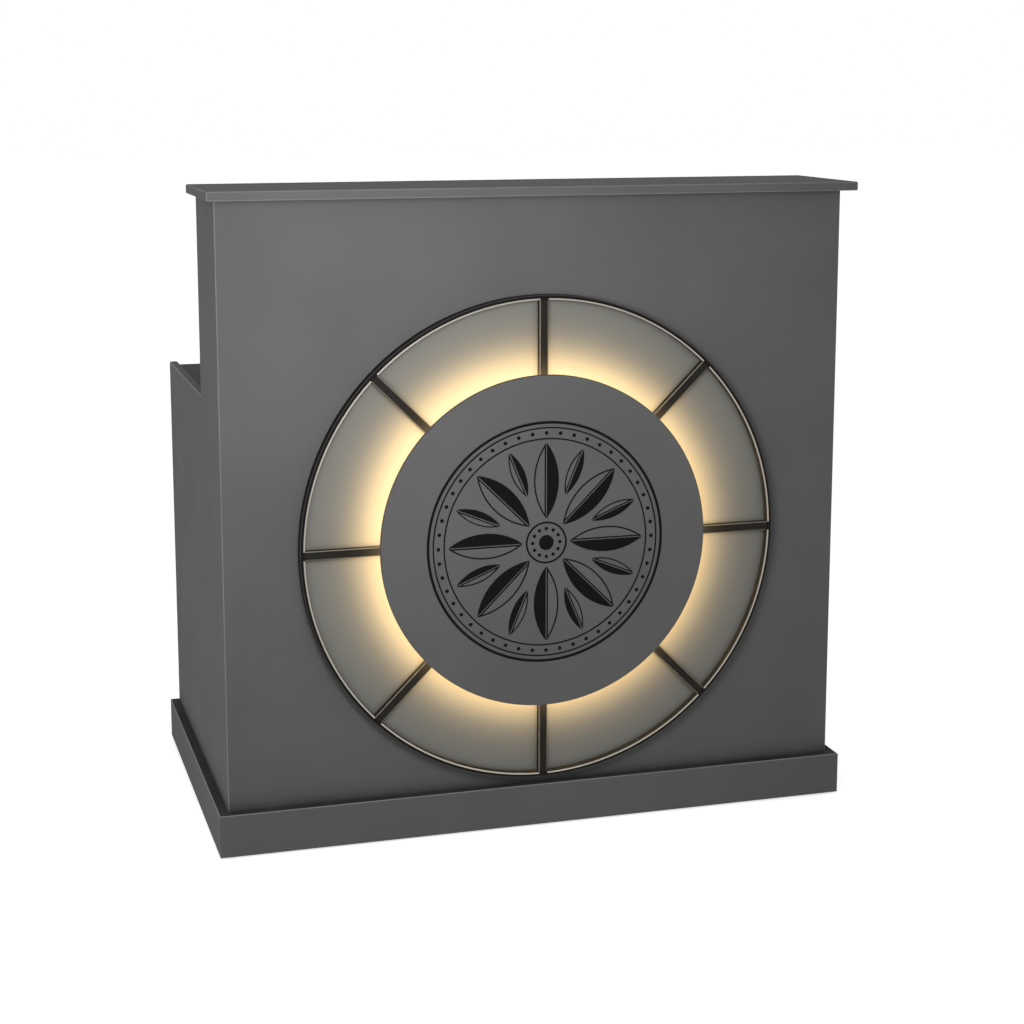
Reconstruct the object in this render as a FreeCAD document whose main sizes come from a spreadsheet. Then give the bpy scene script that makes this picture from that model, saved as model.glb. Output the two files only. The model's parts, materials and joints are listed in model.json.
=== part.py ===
"""Reception desk with a raised counter, a staff-side pedestal and a round back-lit wheel on its front.

Millimetres. +Z is up, the front looks towards -Y and the staff side towards +Y. The origin is on the floor,
in the middle of the desk's overall width and depth.
"""
import FreeCAD
import Part
import os
import re

import Sketcher
from FreeCAD import Placement, Rotation, Vector

SPOKES = 8
TINY = 0.01

# Driving sizes, in millimetres unless the name says degrees
SIZES = {
    # Carcass
    "panel_width": 1080,
    "counter_height": 1100,
    "desk_depth": 645,
    "tall_depth": 210,
    "low_height": 742,
    "board": 15,
    "edge_ease": 1.5,
    "floor_gap": 3,
    "foot_radius": 7,
    "foot_inset": 35,
    "plinth_height": 75,
    "plinth_board": 17,
    "counter_side_overhang": 16,
    "counter_front_overhang": 35,
    "worktop_drop": 6,
    "grommet_bore": 27,
    "grommet_wall": 3,
    "grommet_flange": 5,
    "grommet_lip": 2,
    "grommet_from_side": 230,
    "grommet_behind_counter": 60,
    "bracket_leg": 40,
    "bracket_width": 24,
    "bracket_sheet": 2.5,
    "bracket_inset": 110,
    # Pedestal
    "pedestal_width": 400,
    "service_gap": 105,
    "back_board": 8,
    "drawer_bay": 146,
    "toe_setback": 40,
    "shelf_rise": 235,
    "shelf_setback": 30,
    "shelf_play": 0.5,
    "support_reach": 9,
    "support_width": 14,
    "support_height": 6,
    "support_inset": 50,
    "front_recess": 8,
    "front_gap": 2.5,
    # Drawer and its runners
    "drawer_length": 450,
    "drawer_wall": 12,
    "drawer_wall_height": 92,
    "drawer_lift": 12,
    "drawer_bottom_board": 5,
    "drawer_bottom_lift": 10,
    "groove_depth": 5,
    "groove_play": 0.3,
    "runner_depth": 12.7,
    "runner_height": 45,
    "runner_lift": 22,
    "runner_sheet": 1.2,
    "runner_play": 0.4,
    "runner_flange": 9,
    # Handles
    "handle_span": 160,
    "handle_reach": 28,
    "handle_bar": 8,
    "handle_width": 12,
    "handle_round": 3,
    "door_handle_inset": 45,
    # Lock
    "lock_drop": 24,
    "lock_bore": 6,
    "lock_wall": 3,
    "lock_flange": 3,
    "lock_lip": 1.5,
    "lock_tail": 6,
    "key_slot_width": 1.6,
    "key_slot_height": 8,
    "key_slot_depth": 8,
    "cam_sheet": 3,
    "cam_length": 20,
    "cam_width": 9,
    "strike_sheet": 2,
    "strike_leg": 14,
    "strike_foot": 22,
    "strike_width": 50,
    "strike_play": 1.5,
    # Door hinges and catch
    "hinge_height": 62,
    "hinge_inset": 55,
    "knuckle_radius": 3.5,
    "knuckle_gap": 0.3,
    "hinge_pin_radius": 1.6,
    "pin_head": 1.2,
    "leaf_sheet": 1.1,
    "leaf_width": 17,
    "running_fit": 0.05,
    "catch_length": 46,
    "catch_depth": 15,
    "catch_height": 13,
    "catch_play": 0.5,
    # Light wheel
    "wheel_height": 505,
    "backing_board": 6,
    "ring_inner": 408,
    "ring_band": 8,
    "ring_depth": 18,
    "trim_width": 2.5,
    "trim_sheet": 2,
    "wheel_play": 0.3,
    "spoke_width": 15,
    "spoke_start": 262,
    "disc_radius": 283.5,
    "disc_board": 12,
    "disc_ease": 0.8,
    "halo_gap": 15,
    "carrier_radius": 250,
    "strip_width": 8,
    "strip_sheet": 1.6,
    # Light driver and switch
    "driver_length": 170,
    "driver_height": 52,
    "driver_depth": 32,
    "driver_ear": 14,
    "driver_ear_sheet": 3,
    "driver_from_side": 120,
    "driver_above_floor": 520,
    "driver_round": 2,
    "gland_bore": 3.5,
    "gland_wall": 4,
    "gland_length": 22,
    "gland_nut": 9,
    "gland_nut_length": 7,
    "gland_inset": 25,
    "switch_width": 20,
    "switch_height": 32,
    "switch_depth": 14,
    "switch_wall": 3,
    "switch_floor": 3,
    "switch_from_back": 70,
    "switch_drop": 50,
    "rocker_play": 1,
    "rocker_dip": 2.5,
    "rocker_rise": 4.5,
    "rocker_belly": 3,
    "rocker_pin_radius": 1.2,
    "rocker_tilt_degrees": 7,
}

# Planes and lines that several pieces share, as formulas in the sizes
LINES = {
    "half": "panel_width / 2",
    "fronts_depth": "desk_depth - front_recess",
    "face_y": "-(fronts_depth + handle_reach - counter_front_overhang) / 2",
    "inner_y": "face_y + board",
    "back_y": "face_y + desk_depth",
    "side_x": "half - board",
    "counter_under": "counter_height - board",
    "worktop_top": "low_height - worktop_drop",
    "worktop_under": "worktop_top - board",
    "bay_right": "side_x",
    "bay_left": "bay_right - pedestal_width",
    "bay_back": "inner_y + service_gap + back_board",
    "partition_x": "bay_left - board",
    "front_outer": "face_y + fronts_depth",
    "front_inner": "front_outer - board",
    "mid_top": "worktop_under - drawer_bay",
    "mid_under": "mid_top - board",
    "front_width": "pedestal_width - 2 * front_gap",
    "front_left": "bay_left + front_gap",
    "bay_middle": "bay_left + pedestal_width / 2",
    "drawer_z": "mid_top + drawer_lift",
    "drawer_y": "front_inner - drawer_length",
    "drawer_bottom_z": "drawer_z + drawer_bottom_lift",
    "runner_z": "drawer_z + runner_lift",
    "lock_z": "worktop_under - lock_drop",
    "lock_outer": "lock_bore + lock_wall",
    "door_bottom": "plinth_height + front_gap",
    "door_height": "mid_under - plinth_height - 2 * front_gap",
    "door_edge": "bay_right - front_gap",
    "hinge_x": "bay_right - knuckle_radius",
    "hinge_y": "front_outer + knuckle_radius + knuckle_gap",
    "knuckle_pitch": "hinge_height / 3",
    "backing_y": "face_y - backing_board",
    "disc_y": "backing_y - halo_gap",
    "spoke_depth": "ring_depth - backing_board",
    "grommet_x": "-side_x + grommet_from_side",
    "grommet_y": "face_y + tall_depth + grommet_behind_counter",
    "grommet_outer": "grommet_bore + grommet_wall",
    "driver_x": "-side_x + driver_from_side",
    "gland_x": "driver_x + driver_length - gland_inset",
    "switch_y": "back_y - switch_from_back",
    "switch_z": "worktop_under - switch_drop",
    "well_width": "switch_width - 2 * switch_wall",
    "well_height": "switch_height - 2 * switch_wall",
    "well_depth": "switch_depth - switch_floor",
    "rocker_half": "well_height / 2 - rocker_play",
    "rocker_pivot": "switch_depth - rocker_rise",
}

NAME = re.compile(r"[a-z]+(?:_[a-z]+)*")
doc = FreeCAD.newDocument("ReceptionDesk")
sheet = doc.addObject("Spreadsheet::Sheet", "dim")
nodes = []


def formula(text):
    """A formula in the names of sizes and lines, as one that the document can bind."""

    def spell(match):
        word = match.group(0)
        if word in SIZES:
            return f"dim.{word}"
        if word in LINES:
            return f"({formula(LINES[word])})"
        return word

    return NAME.sub(spell, text)


def number(text):
    """The value of a formula now, in millimetres."""
    return float(sheet.evalExpression(formula(text)))


def bind(thing, **properties):
    """Ties properties of an object to formulas."""
    for name, text in properties.items():
        thing.setExpression(name, formula(text))


def place(thing, x="0", y="0", z="0", axis=None, degrees=0.0):
    """Puts an object at a point given by formulas, turned about an axis through that point."""
    if axis is not None:
        thing.Placement = Placement(Vector(), Rotation(axis, degrees))
    for name, text in (("x", x), ("y", y), ("z", z)):
        thing.setExpression(f"Placement.Base.{name}", formula(text))


def keep(thing):
    """Registers a finished sub-part."""
    nodes.append(thing)
    return thing


def new_body(label):
    """An empty body with its label."""
    made = doc.addObject("PartDesign::Body", label)
    made.Label = label
    return made


def new_sketch(body, plane):
    """A sketch on one of the body's own origin planes: XY, XZ or YZ."""
    sketch = body.newObject("Sketcher::SketchObject", f"{body.Name}_sketch")
    support = next(f for f in body.Origin.OriginFeatures if f.Role == f"{plane}_Plane")
    sketch.AttachmentSupport = [(support, "")]
    sketch.MapMode = "FlatFace"
    return sketch


def draw_outline(sketch, points):
    """Draws a closed outline through pairs of formulas, each corner tied to the sketch's origin."""
    corners = [Vector(number(x), number(y), 0) for x, y in points]
    count = len(corners)
    first = sketch.GeometryCount
    for i in range(count):
        sketch.addGeometry(Part.LineSegment(corners[i], corners[(i + 1) % count]), False)
    for i in range(count):
        sketch.addConstraint(Sketcher.Constraint("Coincident", first + i, 2, first + (i + 1) % count, 1))
    for i, pair in enumerate(points):
        for kind, text in zip(("DistanceX", "DistanceY"), pair):
            tie(sketch, Sketcher.Constraint(kind, -1, 1, first + i, 1, number(text)), text)


def draw_circle(sketch, radius, x="0", y="0"):
    """Draws a circle whose radius and centre are formulas."""
    centre = Vector(number(x), number(y), 0)
    index = sketch.addGeometry(Part.Circle(centre, Vector(0, 0, 1), number(radius)), False)
    tie(sketch, Sketcher.Constraint("Radius", index, number(radius)), radius)
    tie(sketch, Sketcher.Constraint("DistanceX", -1, 1, index, 3, centre.x), x)
    tie(sketch, Sketcher.Constraint("DistanceY", -1, 1, index, 3, centre.y), y)


def tie(sketch, constraint, text):
    """Adds a constraint and binds its size to a formula."""
    index = sketch.addConstraint(constraint)
    sketch.setExpression(f"Constraints[{index}]", formula(text))


def rectangle(width, height, x="0", y="0"):
    """Corner points of a rectangle, as formulas."""
    return [(x, y), (f"{x} + {width}", y), (f"{x} + {width}", f"{y} + {height}"), (x, f"{y} + {height}")]


def pad(body, sketch, length, plane, backwards=False, midplane=False):
    """Pads a sketch along the axis across its plane, forwards, backwards or evenly to both sides."""
    made = body.newObject("PartDesign::Pad", f"{body.Name}_pad")
    made.Profile = sketch
    made.Midplane = midplane
    made.Reversed = (plane == "XZ") != backwards
    bind(made, Length=length)
    return made


def pocket(body, sketch, length, reverse=False, midplane=False):
    """Cuts a sketch into the body and checks that it took material away."""
    doc.recompute()
    before = body.Shape.Volume
    made = body.newObject("PartDesign::Pocket", f"{body.Name}_pocket")
    made.Profile = sketch
    made.Reversed = reverse
    made.Midplane = midplane
    bind(made, Length=length)
    doc.recompute()
    if body.Shape.Volume > before - TINY:
        raise RuntimeError(f"{body.Label}: the pocket cuts nothing")
    return made


def picked_edges(body, pick):
    """The body's last feature and the names of its edges that pick chooses by their bounds."""
    doc.recompute()
    tip = body.Tip
    return tip, [f"Edge{i + 1}" for i, edge in enumerate(tip.Shape.Edges) if pick(edge.BoundBox)]


def ease(body, pick):
    """Takes the sharpness off board edges with a small chamfer."""
    base = picked_edges(body, pick)
    made = body.newObject("PartDesign::Chamfer", f"{body.Name}_ease")
    made.Base = base
    bind(made, Size="edge_ease")


def round_over(body, radius, pick):
    """Rounds edges of a metal or moulded piece."""
    base = picked_edges(body, pick)
    made = body.newObject("PartDesign::Fillet", f"{body.Name}_round")
    made.Base = base
    bind(made, Radius=radius)


def plate(label, plane, outline, thickness, at, holes=()):
    """A flat piece: an outline on a plane, with round holes, padded to its thickness and put at a point."""
    body = new_body(label)
    sketch = new_sketch(body, plane)
    draw_outline(sketch, outline)
    for radius, x, y in holes:
        draw_circle(sketch, radius, x, y)
    pad(body, sketch, thickness, plane)
    place(body, *at)
    return body


def turned(label, profile, at, axis="Y", degrees=None):
    """A turned piece: a profile of radius and height pairs, revolved about the body's Y or Z axis."""
    body = new_body(label)
    plane = "XY" if axis == "Y" else "XZ"
    sketch = new_sketch(body, plane)
    draw_outline(sketch, profile)
    spin = body.newObject("PartDesign::Revolution", f"{label}_turn")
    spin.Profile = sketch
    spin.ReferenceAxis = (sketch, ["V_Axis"])
    if degrees is not None:
        spin.Midplane = True
        bind(spin, Angle=degrees)
    place(body, *at)
    return body


def tube(label, outer, inner, length, at):
    """A tube along -Y from a point, towards the front."""
    profile = [(inner, "0"), (outer, "0"), (outer, f"-({length})"), (inner, f"-({length})")]
    return turned(label, profile, at)


def group(label, members):
    """Separate like pieces that share one sub-part."""
    made = doc.addObject("Part::Compound", label)
    made.Label = label
    made.Links = members
    return keep(made)


def carcass():
    """Front panel, L-shaped sides, counter, worktop and the divider under the counter."""
    front = plate(
        "front_panel", "XZ", rectangle("panel_width", "counter_under - floor_gap"), "board",
        ("-half", "face_y", "floor_gap"),
    )
    ease(front, lambda box: box.YMax < TINY)
    keep(front)

    side = [
        ("board", "floor_gap"),
        ("desk_depth", "floor_gap"),
        ("desk_depth", "low_height"),
        ("tall_depth", "low_height"),
        ("tall_depth", "counter_under"),
        ("board", "counter_under"),
    ]
    clear_front = number("board") + TINY
    clear_floor = number("floor_gap") + TINY
    for label, x in (("left_side_panel", "-half"), ("right_side_panel", "side_x")):
        panel = plate(label, "YZ", side, "board", (x, "face_y", "0"))
        ease(panel, lambda box: box.XLength < TINY and box.YMin > clear_front and box.ZMax > clear_floor)
        keep(panel)

    counter = plate(
        "counter_top", "XY",
        rectangle("panel_width + 2 * counter_side_overhang", "tall_depth + counter_front_overhang"), "board",
        ("-half - counter_side_overhang", "face_y - counter_front_overhang", "counter_under"),
    )
    ease(counter, lambda box: True)
    keep(counter)

    worktop = plate(
        "worktop", "XY", rectangle("2 * side_x", "desk_depth - board"), "board",
        ("-side_x", "inner_y", "worktop_under"),
        [("grommet_outer + running_fit", "grommet_x + side_x", "grommet_y - inner_y")],
    )
    worktop_back = number("desk_depth - board") - TINY
    ease(worktop, lambda box: box.YMin > worktop_back and box.ZLength < TINY)
    keep(worktop)

    keep(plate(
        "counter_divider", "YZ", rectangle("tall_depth - board", "counter_under - worktop_top"), "board",
        ("-board / 2", "inner_y", "worktop_top"),
    ))


def plinth():
    """Three plinth boards with mitred corners, and the hexagonal levelling feet that the desk stands on."""
    front = [
        ("0", "0"),
        ("panel_width + 2 * plinth_board", "0"),
        ("panel_width + plinth_board", "plinth_board"),
        ("plinth_board", "plinth_board"),
    ]
    reach = "desk_depth + plinth_board"
    left = [("0", "0"), ("plinth_board", "plinth_board"), ("plinth_board", reach), ("0", reach)]
    right = [("0", "plinth_board"), ("plinth_board", "0"), ("plinth_board", reach), ("0", reach)]
    rise = "plinth_height - floor_gap"
    corner = ("-half - plinth_board", "face_y - plinth_board", "floor_gap")
    outside = number("plinth_board") - TINY

    board = plate("plinth_front", "XY", front, rise, corner)
    ease(board, lambda box: box.YMax < TINY and box.ZMin > TINY)
    keep(board)
    board = plate("plinth_left", "XY", left, rise, corner)
    ease(board, lambda box: box.XMax < TINY and box.ZMin > TINY)
    keep(board)
    board = plate("plinth_right", "XY", right, rise, ("half", "face_y - plinth_board", "floor_gap"))
    ease(board, lambda box: box.XMin > outside and box.ZMin > TINY)
    keep(board)

    feet = []
    for x in ("-half + board / 2", "partition_x + board / 2", "half - board / 2"):
        for y in ("inner_y + foot_inset", "back_y - foot_inset"):
            foot = doc.addObject("Part::Prism", "foot")
            bind(foot, Circumradius="foot_radius", Height="floor_gap")
            place(foot, x, y)
            feet.append(foot)
    group("levelling_feet", feet)


def pedestal():
    """Partition, bottom, back, middle shelf, toe board and the loose shelf on its four supports."""
    keep(plate(
        "pedestal_partition", "YZ", rectangle("desk_depth - board", "worktop_under - floor_gap"), "board",
        ("partition_x", "inner_y", "floor_gap"),
    ))
    keep(plate(
        "pedestal_bottom", "XY", rectangle("pedestal_width", "desk_depth - board"), "board",
        ("bay_left", "inner_y", "plinth_height - board"),
    ))
    keep(plate(
        "pedestal_toe_board", "XZ", rectangle("pedestal_width", "plinth_height - board - floor_gap"), "board",
        ("bay_left", "back_y - toe_setback - board", "floor_gap"),
    ))
    keep(plate(
        "pedestal_back", "XZ", rectangle("pedestal_width", "worktop_under - plinth_height"), "back_board",
        ("bay_left", "bay_back - back_board", "plinth_height"),
    ))
    keep(plate(
        "pedestal_mid_shelf", "XY", rectangle("pedestal_width", "front_outer - bay_back"), "board",
        ("bay_left", "bay_back", "mid_under"),
    ))
    keep(plate(
        "cupboard_shelf", "XY",
        rectangle("pedestal_width - 2 * shelf_play", "front_inner - shelf_setback - bay_back - shelf_play"), "board",
        ("bay_left + shelf_play", "bay_back + shelf_play", "plinth_height + shelf_rise"),
    ))

    supports = []
    for x in ("bay_left", "bay_right - support_reach"):
        for y in ("bay_back + support_inset", "front_inner - shelf_setback - support_inset"):
            support = doc.addObject("Part::Box", "shelf_support")
            bind(support, Length="support_reach", Width="support_width", Height="support_height")
            place(support, x, f"{y} - support_width / 2", "plinth_height + shelf_rise - support_height")
            supports.append(support)
    group("shelf_supports", supports)


def fittings():
    """Cable grommet in the worktop and the steel angle brackets under it."""
    grommet = [
        ("grommet_bore", "0"),
        ("grommet_outer", "0"),
        ("grommet_outer", "board"),
        ("grommet_outer + grommet_flange", "board"),
        ("grommet_outer + grommet_flange", "board + grommet_lip"),
        ("grommet_bore", "board + grommet_lip"),
    ]
    keep(turned("cable_grommet", grommet, ("grommet_x", "grommet_y", "worktop_under"), "Z"))

    angle = [
        ("0", "0"),
        ("bracket_leg", "0"),
        ("bracket_leg", "-bracket_sheet"),
        ("bracket_sheet", "-bracket_sheet"),
        ("bracket_sheet", "-bracket_leg"),
        ("0", "-bracket_leg"),
    ]
    spots = [
        ("-side_x", "inner_y + bracket_inset", 0),
        ("-side_x", "back_y - bracket_inset", 0),
        ("partition_x", "inner_y + bracket_inset", 180),
        ("partition_x", "back_y - bracket_inset", 180),
        ("-side_x + bracket_inset", "inner_y", 90),
        ("partition_x - bracket_inset", "inner_y", 90),
    ]
    brackets = []
    for x, y, turn in spots:
        bracket = new_body("bracket")
        sketch = new_sketch(bracket, "XZ")
        draw_outline(sketch, angle)
        pad(bracket, sketch, "bracket_width", "XZ", midplane=True)
        place(bracket, x, y, "worktop_under", Vector(0, 0, 1), turn)
        brackets.append(bracket)
    group("corner_brackets", brackets)


def drawer():
    """Drawer front with its lock hole, grooved walls, back wall and the bottom held in the grooves."""
    front = plate(
        "drawer_front", "XZ", rectangle("front_width", "drawer_bay - 2 * front_gap"), "board",
        ("front_left", "front_inner", "mid_top + front_gap"),
        [("lock_outer + running_fit", "front_width / 2", "lock_z - mid_top - front_gap")],
    )
    front_edges = number("board") - TINY
    ease(front, lambda box: box.YMin > front_edges and not round_hole(box))
    keep(front)

    groove_top = "drawer_bottom_lift + drawer_bottom_board + groove_play"
    wall = [
        ("0", "0"),
        ("drawer_wall", "0"),
        ("drawer_wall", "drawer_bottom_lift"),
        ("drawer_wall - groove_depth", "drawer_bottom_lift"),
        ("drawer_wall - groove_depth", groove_top),
        ("drawer_wall", groove_top),
        ("drawer_wall", "drawer_wall_height"),
        ("0", "drawer_wall_height"),
    ]
    mirrored = [(f"drawer_wall - ({x})", z) for x, z in wall]
    left = "bay_left + runner_depth"
    right = "bay_right - runner_depth - drawer_wall"
    keep(plate("drawer_left_wall", "XZ", wall, "drawer_length", (left, "drawer_y", "drawer_z")))
    keep(plate("drawer_right_wall", "XZ", mirrored, "drawer_length", (right, "drawer_y", "drawer_z")))

    inside = "(pedestal_width - 2 * runner_depth - 2 * drawer_wall)"
    keep(plate(
        "drawer_bottom", "XY",
        rectangle(f"{inside} + 2 * (groove_depth - groove_play)", "drawer_length"), "drawer_bottom_board",
        (f"{left} + drawer_wall - groove_depth + groove_play", "drawer_y", "drawer_bottom_z"),
    ))
    keep(plate(
        "drawer_back_wall", "XZ",
        rectangle(inside, "drawer_wall_height - drawer_bottom_lift - drawer_bottom_board"), "drawer_wall",
        (f"{left} + drawer_wall", "drawer_y", "drawer_bottom_z + drawer_bottom_board"),
    ))


def round_hole(box):
    """True for the bounds of a circular edge that lies across Y."""
    return box.YLength < TINY < min(box.XLength, box.ZLength)


def runners():
    """Telescopic runners: on each side a fixed channel, a middle channel and the drawer's own rail."""
    sheet_play = "(runner_sheet + runner_play)"
    middle_height = f"(runner_height - 2 * {sheet_play})"
    inner_height = f"({middle_height} - 2 * {sheet_play})"
    members = {
        "fixed": ("0", "runner_flange", "runner_height", "0"),
        "middle": (sheet_play, f"{sheet_play} + runner_flange", middle_height, sheet_play),
    }
    for side, x, way in (("left", "bay_left", "1"), ("right", "bay_right", "-1")):
        for member, (web, reach, height, lift) in members.items():
            channel = [
                (f"{way} * ({web})", "0"),
                (f"{way} * ({reach})", "0"),
                (f"{way} * ({reach})", "runner_sheet"),
                (f"{way} * ({web} + runner_sheet)", "runner_sheet"),
                (f"{way} * ({web} + runner_sheet)", f"{height} - runner_sheet"),
                (f"{way} * ({reach})", f"{height} - runner_sheet"),
                (f"{way} * ({reach})", height),
                (f"{way} * ({web})", height),
            ]
            keep(plate(
                f"{side}_runner_{member}", "XZ", channel, "drawer_length",
                (x, "drawer_y", f"runner_z + {lift}"),
            ))
        tail = f"(2 * {sheet_play} + runner_play)"
        rail = [
            (f"{way} * runner_depth", "0"),
            (f"{way} * {tail}", "0"),
            (f"{way} * {tail}", "runner_sheet"),
            (f"{way} * (runner_depth - runner_sheet)", "runner_sheet"),
            (f"{way} * (runner_depth - runner_sheet)", f"{inner_height} - runner_sheet"),
            (f"{way} * {tail}", f"{inner_height} - runner_sheet"),
            (f"{way} * {tail}", inner_height),
            (f"{way} * runner_depth", inner_height),
        ]
        keep(plate(
            f"{side}_runner_inner", "XZ", rail, "drawer_length",
            (x, "drawer_y", f"runner_z + 2 * {sheet_play}"),
        ))


def bow_handle(label, plane, at):
    """A flat bow handle: a U of bar, its legs on the front that it pulls."""
    span = "handle_span"
    bow = [
        ("0", "0"),
        ("handle_bar", "0"),
        ("handle_bar", "handle_reach - handle_bar"),
        (f"{span} - handle_bar", "handle_reach - handle_bar"),
        (f"{span} - handle_bar", "0"),
        (span, "0"),
        (span, "handle_reach"),
        ("0", "handle_reach"),
    ]
    if plane == "YZ":
        bow = [(reach, along) for along, reach in bow]
    handle = plate(label, plane, bow, "handle_width", at)
    outer = number("handle_reach") - TINY
    across = (lambda box: box.ZLength) if plane == "XY" else (lambda box: box.XLength)
    round_over(handle, "handle_round", lambda box: box.YMin > outer and across(box) > TINY)
    keep(handle)


def lock():
    """Cam lock of the drawer: flanged housing, barrel with a key slot, cam, and the strike under the worktop."""
    centre = ("bay_middle", "front_outer", "lock_z")
    housing = [
        ("lock_bore + running_fit", "lock_lip"),
        ("lock_outer + lock_flange", "lock_lip"),
        ("lock_outer + lock_flange", "0"),
        ("lock_outer", "0"),
        ("lock_outer", "-board - lock_tail"),
        ("lock_bore + running_fit", "-board - lock_tail"),
    ]
    keep(turned("lock_housing", housing, centre))

    barrel_end = "-board - lock_tail - running_fit"
    barrel = turned(
        "lock_barrel",
        [("0", "lock_lip"), ("lock_bore", "lock_lip"), ("lock_bore", barrel_end), ("0", barrel_end)],
        centre,
    )
    slot = new_sketch(barrel, "XZ")
    draw_outline(slot, rectangle("key_slot_width", "key_slot_height", "-key_slot_width / 2", "-key_slot_height / 2"))
    bind(slot, **{"AttachmentOffset.Base.z": "-lock_lip"})
    pocket(barrel, slot, "key_slot_depth", reverse=True)
    keep(barrel)

    cam = [
        ("-cam_width / 2", "-cam_width / 2"),
        ("cam_length - cam_width / 2", "-cam_width / 2"),
        ("cam_length - cam_width / 2", "cam_width / 2"),
        ("-cam_width / 2", "cam_width / 2"),
    ]
    cam_y = "front_inner - lock_tail - running_fit - cam_sheet"
    cam_body = plate("lock_cam", "XZ", cam, "cam_sheet", ("bay_middle", cam_y, "lock_z"))
    round_over(cam_body, "cam_width / 3", lambda box: box.YLength > TINY)
    keep(cam_body)

    strike = [
        ("0", "0"),
        ("-strike_foot", "0"),
        ("-strike_foot", "-strike_sheet"),
        ("-strike_sheet", "-strike_sheet"),
        ("-strike_sheet", "-strike_leg"),
        ("0", "-strike_leg"),
    ]
    strike_y = f"{cam_y} + cam_sheet + strike_play + strike_sheet"
    keep(plate(
        "lock_strike", "YZ", strike, "strike_width",
        ("bay_middle - strike_width / 2", strike_y, "worktop_under"),
    ))


def cupboard_door():
    """Cupboard door and the magnetic catch that holds it shut."""
    door = plate(
        "cupboard_door", "XZ", rectangle("front_width", "door_height"), "board",
        ("front_left", "front_inner", "door_bottom"),
    )
    outer = number("board") - TINY
    ease(door, lambda box: box.YMin > outer)
    keep(door)
    keep(plate(
        "door_catch", "XZ", rectangle("catch_length", "catch_height"), "catch_depth",
        ("bay_left", "front_inner - catch_play - catch_depth", "mid_under - catch_height"),
    ))


def knuckle_leaf(x, base, first, knuckles):
    """One hinge leaf with its knuckles: a plate beside the pin, tabs to the barrel and the barrel's bored rings."""
    flat = doc.addObject("Part::Box", "leaf_plate")
    bind(flat, Length="leaf_sheet", Width="leaf_width - knuckle_radius - knuckle_gap", Height="hinge_height")
    place(flat, x, "hinge_y - leaf_width", base)
    solids = [flat]
    for i in range(knuckles):
        rise = f"{base} + {first + 2 * i} * knuckle_pitch + knuckle_gap / 2"
        tab = doc.addObject("Part::Box", "leaf_tab")
        bind(tab, Length="leaf_sheet", Width="knuckle_radius + knuckle_gap", Height="knuckle_pitch - knuckle_gap")
        place(tab, x, "hinge_y - knuckle_radius - knuckle_gap", rise)
        ring = doc.addObject("Part::Cylinder", "leaf_knuckle")
        bind(ring, Radius="knuckle_radius", Height="knuckle_pitch - knuckle_gap")
        place(ring, "hinge_x", "hinge_y", rise)
        solids += [tab, ring]
    whole = doc.addObject("Part::MultiFuse", "leaf_whole")
    whole.Shapes = solids
    bore = doc.addObject("Part::Cylinder", "leaf_bore")
    bind(bore, Radius="hinge_pin_radius + running_fit", Height="hinge_height")
    place(bore, "hinge_x", "hinge_y", base)
    leaf = doc.addObject("Part::Cut", "leaf")
    leaf.Base = whole
    leaf.Tool = bore
    return leaf


def hinges():
    """Two butt hinges: leaves on the side panel, leaves on the door's edge, and headed pins."""
    frame_leaves = []
    door_leaves = []
    pins = []
    for base in ("door_bottom + hinge_inset", "door_bottom + door_height - hinge_inset - hinge_height"):
        frame_leaves.append(knuckle_leaf("bay_right - leaf_sheet", base, 0, 2))
        door_leaves.append(knuckle_leaf("door_edge", base, 1, 1))
        stem = doc.addObject("Part::Cylinder", "hinge_stem")
        bind(stem, Radius="hinge_pin_radius", Height="hinge_height")
        place(stem, "hinge_x", "hinge_y", base)
        head = doc.addObject("Part::Cylinder", "hinge_head")
        bind(head, Radius="hinge_pin_radius + pin_head", Height="pin_head")
        place(head, "hinge_x", "hinge_y", f"{base} + hinge_height")
        pin = doc.addObject("Part::Fuse", "hinge_pin")
        pin.Base = stem
        pin.Tool = head
        pins.append(pin)
    group("hinge_frame_leaves", frame_leaves)
    group("hinge_door_leaves", door_leaves)
    group("hinge_pins", pins)


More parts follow.
